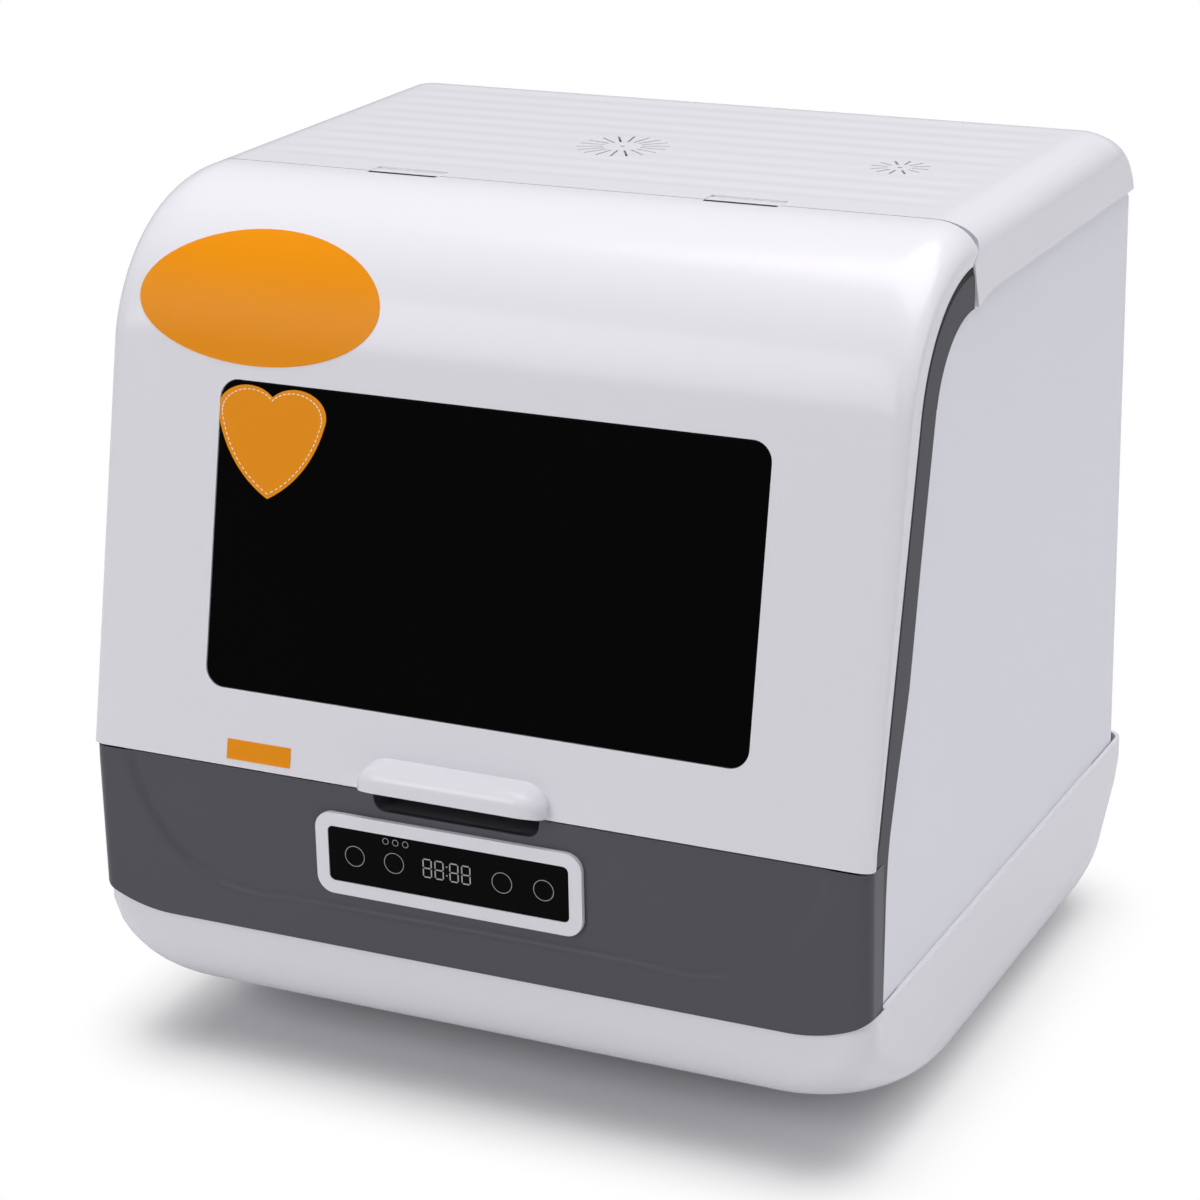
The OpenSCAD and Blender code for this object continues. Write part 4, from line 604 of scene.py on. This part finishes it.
def skin_patch(name, cx, cz, a, b, thick, rings=10, steps=72):
    """A thin oval sheet, seen from the front as an ellipse, that lies on the curved skin."""
    def spot(x, z, lift):
        t, (out_t, out_z) = skin_at(z)
        return place(x, t + out_t * lift, z + out_z * lift)

    def at(i, k, low):
        return 2 + 2 * ((i - 1) * steps + k % steps) + low

    verts = [spot(cx, cz, thick), spot(cx, cz, 0.0)]
    for i in range(1, rings + 1):
        f = i / rings
        for k in range(steps):
            turn = 2 * math.pi * k / steps
            x, z = cx + a * f * math.cos(turn), cz + b * f * math.sin(turn)
            verts += [spot(x, z, thick), spot(x, z, 0.0)]
    faces = []
    for k in range(steps):
        m = k + 1
        faces += [(0, at(1, k, 0), at(1, m, 0)), (1, at(1, m, 1), at(1, k, 1))]
        for i in range(1, rings):
            faces.append((at(i, k, 0), at(i + 1, k, 0), at(i + 1, m, 0), at(i, m, 0)))
            faces.append((at(i, k, 1), at(i, m, 1), at(i + 1, m, 1), at(i + 1, k, 1)))
        faces.append((at(rings, k, 0), at(rings, k, 1), at(rings, m, 1), at(rings, m, 0)))
    return add_mesh(name, verts, faces)


oval = skin_patch("oval_sticker_sheet", -129, 391, 67, 30, 0.3)
finish_piece(oval, ORANGE, "door", "orange_film", "oval_sticker")


def heart_outline(w, steps=64):
    """Two round lobes that run in full curves down to a point."""
    half = []
    last = -14
    for k in range(steps // 2):
        a = math.radians(mix(141.8, last, k / (steps // 2 - 1)))
        half.append((w * 0.44 + w * 0.56 * math.cos(a), w * 0.38 + w * 0.42 * math.sin(a)))
    x0, y0 = half[-1]
    tx, ty = math.sin(math.radians(last)), -math.cos(math.radians(last))
    curve = ((x0, y0), (x0 + tx * w * 0.5, y0 + ty * w * 0.5), (w * 0.56, -w * 0.7), (0.0, -w))
    for k in range(1, steps // 2 + 1):
        s = k / (steps // 2)
        share = (1 - s) ** 3, 3 * s * (1 - s) ** 2, 3 * s * s * (1 - s), s ** 3
        half.append(tuple(sum(c * p[i] for c, p in zip(share, curve)) for i in (0, 1)))
    return half + [(-x, y) for x, y in reversed(half[1:-1])]


def heart_dashes(u, v, outline):
    """Short dashes that follow the heart's edge, one at every third point."""
    made = []
    for k in range(0, len(outline), 3):
        p, q = Vector(outline[k]), Vector(outline[(k + 1) % len(outline)])
        along = q - p
        if along.length < 1e-6:
            continue
        along = along.normalized() * 0.75
        side = Vector((-along.y, along.x)).normalized() * 0.22
        mid = (p + q) / 2
        ends = [mid - along + side, mid + along + side, mid + along - side, mid - along - side]
        made.append(door_plate("dash", [(u + e.x, v + e.y) for e in ends], 0.14, 0.1))
    return made


HEART_U, HEART_V, HEART_W = 29.0 - WINDOW_W / 2, 50.0, 30.6
heart = [(HEART_U + x, HEART_V + y) for x, y in heart_outline(HEART_W * 0.99)]
heart = door_plate("heart_sticker_sheet", heart, 0.2, 0.3)
finish_piece(heart, ORANGE, "door", "orange_film", "heart_sticker")
dashes = heart_dashes(HEART_U, HEART_V, heart_outline(HEART_W * 0.91, 100))
finish_piece(join("heart_border", dashes), CREAM, "door", "orange_film")


def strip_sticker():
    """A small flat label that stands off the door's flat by its own thickness."""
    x, z0, verts = -113, 175.5, []
    for lift in (0.3, 0.0):
        for u, v in ((-18, -5), (18, -5), (18, 5), (-18, 5)):
            t, z = line_t(z0) + v * SIN - lift * COS, z0 + v * COS + lift * SIN
            verts.append(place(x + u, t, z))
    return add_mesh("strip_sticker_sheet", verts, extruded_faces(4))


finish_piece(strip_sticker(), ORANGE, "door", "orange_film", "strip_sticker")


# ---------------------------------------------------------------- grey front and frame
def fascia_low(x):
    """Lower edge of the grey front: level, then curving up towards the sides."""
    past = abs(x) - LOW_FLAT_X
    return LOW_Z if past <= 0 else LOW_Z + LOW_R - math.sqrt(max(0.0, LOW_R ** 2 - past ** 2))


def swoosh_gap(x, z):
    """Signed distance to the crease: positive on the inner, upper side."""
    ax, best, sign = abs(x), 1e9, 1
    for (x0, z0), (x1, z1) in zip(SWOOSH, SWOOSH[1:]):
        dx, dz = x1 - x0, z1 - z0
        s = max(0.0, min(1.0, ((ax - x0) * dx + (z - z0) * dz) / (dx * dx + dz * dz)))
        px, pz = x0 + s * dx, z0 + s * dz
        dist = math.hypot(ax - px, z - pz)
        if dist < best:
            best = dist
            sign = 1 if (dx * (z - pz) - dz * (ax - px)) > 0 else -1
    return sign * best


def fascia_grid(wall):
    r = 6.0
    plan = [(FRONT_X - wall, 17.0), (FRONT_X - wall, 11.0)]
    for a in range(0, 91, 10):
        c, s = math.cos(math.radians(a)), math.sin(math.radians(a))
        plan.append((FRONT_X - r + (r - wall) * c, r - (r - wall) * s))
    xs = [FRONT_X - r - 1 - i * 1.9 for i in range(0, 40)]
    xs += [xs[-1] - 4 * i for i in range(1, 1 + int(xs[-1] // 4))]
    plan += [(x, wall) for x in xs if x > 1]
    plan = ([(x, t, 1) for x, t in plan] + [(0.0, wall, 1)]
            + [(x, t, -1) for x, t in reversed(plan)])
    n = 44
    rows = []
    for i in range(n + 1):
        row = []
        for x, t, sign in plan:
            z = mix(fascia_low(x + wall), FRONT_TOP - wall, i / n)
            out = 0.0
            if wall == 0 and t < 6:
                step = 1 - smooth(-1.5, 4.0, swoosh_gap(x, z))
                step *= smooth(0, 10, FRONT_X - x + 2)
                out = CREASE_DEPTH * step * (1 - smooth(158, FRONT_TOP, z) * 0.6)
            row.append(place(sign * x, t - out, z))
        rows.append(row)
    return rows


def recess_cutter():
    """The finger recess, seen from the front: open above, with round lower corners."""
    half = [(38 + 7 * math.sin(math.radians(a)), 163 - 7 * math.cos(math.radians(a)))
            for a in range(0, 80, 10)] + [(46, 171)]
    pts = [(HANDLE_X - x, z) for x, z in reversed(half)] + [(HANDLE_X + x, z) for x, z in half]
    return prism("recess_cut", pts, -6, 18, axis="t")


def band(depth_a, depth_b, end_t, start_z):
    """The door's profile between two depths, from a height up and back to a depth."""
    def line(depth):
        pts = [(line_t(start_z) + depth / COS, start_z)]
        for i in range(0, 25):
            a = math.radians(mix(ARC_FROM, ARC_TO, i / 24))
            p = (ARC_T + (ARC_R - depth) * math.cos(a), ARC_Z + (ARC_R - depth) * math.sin(a))
            if p[0] < end_t:
                pts.append(p)
        end_z = ARC_Z + math.sqrt((ARC_R - depth) ** 2 - min(0.0, end_t - ARC_T) ** 2)
        return pts + [(end_t, end_z)]
    return line(depth_a) + list(reversed(line(depth_b)))


fascia = closed_shell("fascia_skin", fascia_grid(0), fascia_grid(3))
pocket = box("finger_pocket_shell", HANDLE_X - 49, HANDLE_X + 49, 1.2, 21, 153, FRONT_TOP)
cut(fascia, recess_cutter())
cut(pocket, recess_cutter())
soften(fascia, 0.7)
soften(pocket, 0.4)

ring_band = band(RING_DEPTH, RING_DEPTH + FRAME_WALL, RING_END, FRONT_TOP)
ring = prism("ring", ring_band, -206, 206)
cut(ring, prism("mouth", band(7, 45, MOUTH_END, MOUTH_LOW), -MOUTH_X, MOUTH_X))
cut(ring, box("catch_hole", -8, 8, 10, 40, 168.5, 182.5))
cut(ring, prism("switch_hole", circle(56, 175, 3.4, 24), 0, 60, axis="t"))
parts, strips, shadow_bands = [ring], [], []
strip_front = [(FRAME_T, SEAM), (FRAME_T, FRONT_TOP)]
strip_front += skirt_edge(40, STRIP_FROM, first=SHADOW_BAND_FROM)
strip_rear = [side_edge(k / 60 * 2, STRIP, STRIP_TOP, SEAM) for k in range(0, 61)]
for (lo, hi), (lip_lo, lip_hi) in zip(both_sides(MOUTH_X, OUTER_X), both_sides(202, 205.9)):
    parts.append(prism("return", band(RING_DEPTH + 1, 33, MOUTH_END, MOUTH_LOW), lo, hi))
    parts.append(prism("lip", band(RING_DEPTH + 1, 26, RING_END, FRONT_TOP), lip_lo, lip_hi))
for lo, hi in both_sides(205.4, FRONT_X):
    strips.append(soften(prism("strip", strip_front + strip_rear[::-1], lo, hi), 0.3))
finish_piece(join("side_strip_shell", strips), STRIP_PAINTED_LIGHT, "cabinet", "grey_plastic")
# Painted shadow: a dark rubber band set in the gap between the door's skirt and the grey strip
# draws the shadow line there.
for lo, hi in both_sides(205.0, FRONT_X - 0.15):
    shadow_band_line = skirt_edge(40, SHADOW_BAND_FROM) + skirt_edge(40, SHADOW_BAND_TO)[::-1]
    shadow_bands.append(prism("seal", shadow_band_line, lo, hi))
finish_piece(join("frame_edge_painted_shadow", shadow_bands), RUBBER, "cabinet", "rubber_dark")
shelf = box("shelf", -198, 198, 16, TUB_T, FRONT_TOP - 3, FRONT_TOP)
bar_t, bar_low = line_t(MOUTH_LOW) + RING_DEPTH / COS + 1, MOUTH_LOW - FRAME_WALL
sill_bar = [(bar_t, bar_low), (bar_t, MOUTH_LOW), (TUB_T, MOUTH_LOW), (TUB_T, bar_low)]
parts.append(prism("sill_bar", sill_bar, -OUTER_X, OUTER_X))
parts.append(box("top_bar", -OUTER_X, OUTER_X, MOUTH_END, MOUTH_END + FRAME_WALL, 407, 424))
finish_piece(join("front_panel_shell", [fascia, shelf]), GREY, "cabinet", "grey_plastic",
             "front_panel")
# The pocket gets the darker grey that paints the shade in the recess.
finish_piece(pocket, RECESS_PAINTED_SHADE, "cabinet", "grey_plastic")
finish_piece(join("face_frame_shell", parts), GREY, "cabinet", "grey_plastic", "face_frame")


# ---------------------------------------------------------------- base
def level_inset(z, r):
    """How far a wall rounded by r at its foot stands in at a height."""
    up = z - BASE_Z
    return 0.0 if up >= r else r - math.sqrt(max(0.0, r * r - (r - up) ** 2))


def base_ring(t0, z, wall, lift):
    """One level outline of the base, with corners that tighten on the way up."""
    side = HALF - wall - level_inset(z, 36.0)
    rear = BASE_REAR - wall - level_inset(z, 20.0)
    front = t0 + wall
    r = mix(88, 12, min(1.0, (z - BASE_Z) / 68)) - wall
    x, back, fore = side - r, rear - r, front + r
    pts = []
    for q, (cx, ct) in enumerate(((x, back), (-x, back), (-x, fore), (x, fore))):
        pts += arc(cx, ct, r, [q * 90 + 90 * k / 12 for k in range(13)])
    full = []
    for k, p in enumerate(pts):
        full.append(p)
        if k % 13 == 12:
            q = pts[(k + 1) % len(pts)]
            for s in (0.02, 0.1, 0.25, 0.5, 0.75, 0.9, 0.98):
                full.append((mix(p[0], q[0], s), mix(p[1], q[1], s)))
    return [place(x, t, z + lift) for x, t in full]


def bowl(wall, top_z):
    """Rings from the underside up the chin, round the nose and up to the seam."""
    rings = []
    for i in range(41):
        a = CHIN_A * i / 40
        t, z = CHIN_T - CHIN_R * math.sin(a), BASE_Z + CHIN_R * (1 - math.cos(a))
        rings.append(base_ring(t, z, wall, wall))
    for i in range(1, 17):
        a = mix(CHIN_A, math.pi / 2, i / 16)
        z = BASE_Z + CHIN_R * (1 - math.cos(CHIN_A)) + NOSE_R * (math.cos(CHIN_A) - math.cos(a))
        rings.append(base_ring(NOSE_R * (1 - math.sin(a)), z, wall, wall))
    last_z = rings[-1][0].z * 1000
    for s in (0.5, 1.0):
        rings.append(base_ring(0, mix(last_z, top_z, s), wall, 0.0))
    return rings


def base_shell():
    """The bowl's outer and inner rings, closed below and joined round the upper rim."""
    outer, inner = bowl(0, SEAM), bowl(SKIN, SEAM)
    rows, n = len(outer), len(outer[0])
    off = rows * n
    faces = [tuple(range(n)), tuple(off + j for j in range(n - 1, -1, -1))]
    for i in range(rows - 1):
        for j in range(n):
            a, b = i * n + j, i * n + (j + 1) % n
            faces.append((a, b, b + n, a + n))
            faces.append((off + a + n, off + b + n, off + b, off + a))
    for j in range(n):
        a, b = (rows - 1) * n + j, (rows - 1) * n + (j + 1) % n
        faces.append((a, b, off + b, off + a))
    return add_mesh("base_bowl", [p for r in outer + inner for p in r], faces)


def front_gap():
    """Room for the grey front, which dips into the base with a gap round it."""
    past = HALF + 1
    low = [(x, fascia_low(x) - GAP) for x in [i * LOW_FLAT_X / 8 for i in range(-8, 9)]]
    right = [(LOW_FLAT_X + LOW_R * math.sin(math.radians(a)),
              LOW_Z + LOW_R - GAP - LOW_R * math.cos(math.radians(a))) for a in range(2, 33, 2)]
    right = [p for p in right if p[0] < past] + [(past, SEAM - GAP)]
    left = [(-x, z) for x, z in reversed(right)]
    outline = left + low + right + [(past, 120), (-past, 120)]
    return prism("front_gap", outline, -5, 17.3, axis="t")


base = base_shell()
cut(base, front_gap())
cut(base, join("slots", [box("slot", k * 16 - 3, k * 16 + 3, 250, 300, 5, 11)
                         for k in range(-4, 5)]))
soften(base, 0.5)
extra = [post(x, t, z, 134, 9) for x in (-162, 162) for t, z in ((78, 26), (300, 10))]
extra += [post(0, 183, 9, 22, 30), box("pump_seat", -108, -76, 118, 158, 9, 26)]
extra += [box("board_rest", 96, 184, t, t + 6, 9, 25.2) for t in (154, 236)]
extra += [box("side_ledge", lo, hi, 40, 338, 87, 91.9) for lo, hi in both_sides(202, 209)]
extra += [box("rear_ledge", -203, 203, 369, 391, 88, 91.9)]
finish_piece(join("base_tray_shell", [base] + extra), WHITE, "cabinet", "white_gloss",
             "base_tray")

# ---------------------------------------------------------------- control panel
bezel = front_plate("control_bezel_rim", rounded_outline(145, 43, 9, 12), -2.6, 0.6)
cut(bezel, front_plate("hole", rounded_outline(131, 29, 3, 8), -5, -1.0))
cut(bezel, front_plate("hole", [(-40, -8), (40, -8), (40, 8), (-40, 8)], -5, 1))
soften(bezel, 0.8, segments=4)
finish_piece(bezel, WHITE, "cabinet", "white_gloss", "control_bezel")
panel = front_plate("control_glass_sheet", rounded_outline(130.8, 28.8, 2.8, 8), -2.3, -1.0)
soften(panel, 0.25)
finish_piece(panel, BLACK_GLASS, "cabinet", "black_glass", "control_glass")


def ring_mark(x, z, r, w, steps=40):
    verts, faces = [], []
    for k in range(steps):
        a = 2 * math.pi * k / steps
        for t in (MARK_FRONT, MARK_BACK):
            for rr in (r - w / 2, r + w / 2):
                verts.append(place(x + rr * math.cos(a), t, z + rr * math.sin(a)))
    for k in range(steps):
        a, b = k * 4, ((k + 1) % steps) * 4
        faces += [(a, a + 1, b + 1, b), (a + 2, b + 2, b + 3, a + 3),
                  (a, b, b + 2, a + 2), (a + 1, a + 3, b + 3, b + 1)]
    return add_mesh("ring", verts, faces)


def bar(x0, z0, x1, z1, w):
    """A straight stroke of width w between two points."""
    p, q = Vector((x0, z0)), Vector((x1, z1))
    d = (q - p).normalized()
    s = Vector((-d.y, d.x)) * w / 2
    return prism("bar", [(p + s)[:], (p - s)[:], (q - s)[:], (q + s)[:]], MARK_FRONT, MARK_BACK,
                 axis="t")


def digit(x, z, w, h, g, stroke):
    """All seven strokes of a digit, each g short of its corners."""
    level = [((g, k * h), (w - g, k * h)) for k in (0, 1, 2)]
    upright = [((side, k * h + g), (side, k * h + h - g)) for k in (0, 1) for side in (0, w)]
    return [bar(x + a, z + b, x + c, z + d, stroke) for (a, b), (c, d) in level + upright]


marks = [ring_mark(x, 130.7, 5.3, 0.28) for x in (-59.4, -37.6, 21.3, 43.6)]
marks += [ring_mark(x, 141.7, 1.55, 0.26, 24) for x in (-41.8, -36.4, -30.9)]
for x0 in (-21.4, -14.9, -6.8, -0.3):
    marks += digit(x0, 126.6, 4.4, 4.7, 0.45, 0.62)
marks += [bar(-8.9, z, -8.2, z, 0.7) for z in (129.2, 133.8)]
finish_piece(join("panel_marks", marks), MARK, "cabinet", None)

# ---------------------------------------------------------------- pieces kept from the CAD
LOOKS = (
    (STEEL, "wash_tub filter_screen heater_element hinge_brackets hinge_pins cabinet_screws"),
    (PANEL, "left_side_panel right_side_panel rear_panel"),
    (RUBBER, "rubber_feet sump_hose suction_pipe fan_gasket window_seal"),
    (GREY_RUBBER, "tub_seal drain_hose inlet_hose"),
    (BOARD, "control_board power_board"),
    (MOTOR, "wash_pump_motor"),
    (VALVE_BLUE, "inlet_valve"),
    (WHITE_SATIN, "switch_plunger door_liner latch_tongue"),
    (COATED_WIRE, "rack_floor rack_walls tines_left tines_right"),
    (DARK, "display_module drain_impeller drain_spigot cable_gland fan_frame fan_rotor"
           " door_switch"),
    (LIGHT, "sump_cup filter_cup wash_pump_volute wash_impeller drain_pump_body supply_pipe"
            " catch_housing catch_roller float_tube float_dome lower_spray_arm upper_spray_arm"
            " cutlery_basket"),
)
for look, names in LOOKS:
    for name in names.split():
        node = NODES[name]
        node.data.materials.clear()
        node.data.materials.append(look)
        for poly in node.data.polygons:
            poly.material_index = 0
        edge = node.modifiers.new("smooth", "EDGE_SPLIT")
        edge.split_angle = math.radians(32)
        node.data.polygons.foreach_set("use_smooth", [True] * len(node.data.polygons))

# ---------------------------------------------------------------- floor
scene = bpy.context.scene
floor_mesh = bpy.data.meshes.new("floor")
floor_mesh.from_pydata([(-9, -9, 0), (9, -9, 0), (9, 9, 0), (-9, 9, 0)], [], [(0, 1, 2, 3)])
floor = bpy.data.objects.new("floor", floor_mesh)
scene.collection.objects.link(floor)
floor_look = bpy.data.materials.new("studio_floor")
floor_look.use_nodes = True
ft = floor_look.node_tree


def vector_step(operation, source, constant=(0.0, 0.0, 0.0)):
    step = ft.nodes.new("ShaderNodeVectorMath")
    step.operation = operation
    ft.links.new(source, step.inputs[0])
    step.inputs[1].default_value = constant
    return step.outputs["Value" if operation == "LENGTH" else "Vector"]


matt = ft.nodes["Principled BSDF"]
matt.inputs["Base Color"].default_value = (0.76, 0.76, 0.77, 1)
matt.inputs["Roughness"].default_value = 0.95
matt.inputs["Specular IOR Level"].default_value = 0.0
lit = ft.nodes.new("ShaderNodeEmission")
lit.inputs["Color"].default_value = (1, 1, 1, 1)
lit.inputs["Strength"].default_value = 1.0
# How far a spot lies outside a rectangle under the cabinet: the floor turns white with that.
shadow_half, fade_width = (0.165, 0.15, 0.0), 0.085             # metres
floor_spot = ft.nodes.new("ShaderNodeTexCoord").outputs["Object"]
quadrant = vector_step("ABSOLUTE", floor_spot)
beyond = vector_step("SUBTRACT", quadrant, shadow_half)
outside = vector_step("MAXIMUM", beyond)
fade = ft.nodes.new("ShaderNodeMapRange")
fade.interpolation_type = "SMOOTHSTEP"
fade.inputs["From Min"].default_value = 0.0
fade.inputs["From Max"].default_value = fade_width
ft.links.new(vector_step("LENGTH", outside), fade.inputs["Value"])
eye = ft.nodes.new("ShaderNodeLightPath")
only_seen = ft.nodes.new("ShaderNodeMath")
only_seen.operation = "MULTIPLY"
ft.links.new(fade.outputs["Result"], only_seen.inputs[0])
ft.links.new(eye.outputs["Is Camera Ray"], only_seen.inputs[1])
both = ft.nodes.new("ShaderNodeMixShader")
ft.links.new(only_seen.outputs["Value"], both.inputs["Fac"])
ft.links.new(matt.outputs["BSDF"], both.inputs[1])
ft.links.new(lit.outputs["Emission"], both.inputs[2])
ft.links.new(both.outputs["Shader"], ft.nodes["Material Output"].inputs["Surface"])
floor.data.materials.append(floor_look)

# ---------------------------------------------------------------- world
world = bpy.data.worlds.new("studio")
scene.world = world
world.use_nodes = True
wt = world.node_tree
wt.nodes.clear()


def background(colour, strength):
    made = wt.nodes.new("ShaderNodeBackground")
    made.inputs["Color"].default_value = colour
    made.inputs["Strength"].default_value = strength
    return made.outputs["Background"]


def choose(ray, otherwise, then):
    """The second shader for rays of the named kind, and the first for all others."""
    made = wt.nodes.new("ShaderNodeMixShader")
    wt.links.new(path.outputs[ray], made.inputs["Fac"])
    wt.links.new(otherwise, made.inputs[1])
    wt.links.new(then, made.inputs[2])
    return made.outputs["Shader"]


path = wt.nodes.new("ShaderNodeLightPath")
sky = (0.96, 0.97, 1.0, 1)
unseen = choose("Is Glossy Ray", background(sky, 0.24), background(sky, 0.16))
shown_sky = choose("Is Camera Ray", unseen, background((1, 1, 1, 1), 1.0))
wt.links.new(shown_sky, wt.nodes.new("ShaderNodeOutputWorld").inputs["Surface"])


# ---------------------------------------------------------------- lamps and camera
def lamp(name, where, target, size, size_y, power):
    data = bpy.data.lights.new(name, "AREA")
    data.shape = "RECTANGLE"
    data.size, data.size_y = size, size_y
    data.energy = power
    obj = bpy.data.objects.new(name, data)
    obj.location = where
    obj.rotation_euler = (Vector(target) - Vector(where)).to_track_quat("-Z", "Y").to_euler()
    scene.collection.objects.link(obj)


lamp("top_softbox", (0.45, 0.6, 4.2), (0, 0.05, 0.2), 3.6, 3.4, 164)
lamp("front_softbox", (-1.8, -3.6, 2.2), (0, 0, 0.25), 2.2, 2.2, 66)
lamp("side_softbox", (4.0, 0.3, 1.6), (0, 0, 0.22), 2.0, 2.0, 24)

cam_data = bpy.data.cameras.new("camera")
cam = bpy.data.objects.new("camera", cam_data)
scene.collection.objects.link(cam)
scene.camera = cam
cam_data.sensor_width = 36.0
cam_data.lens = 101.53
cam_data.clip_start, cam_data.clip_end = 0.05, 50
right_axis = Vector((0.90297, 0.42927, -0.01973))
up_axis = Vector((-0.12749, 0.31145, 0.94167))
back_axis = Vector((0.41038, -0.84778, 0.33595))
turned = Matrix((right_axis, up_axis, back_axis)).transposed().to_4x4()
cam.matrix_world = Matrix.Translation((0.7123, -1.5043, 0.8026)) @ turned

scene.view_settings.view_transform = "Standard"
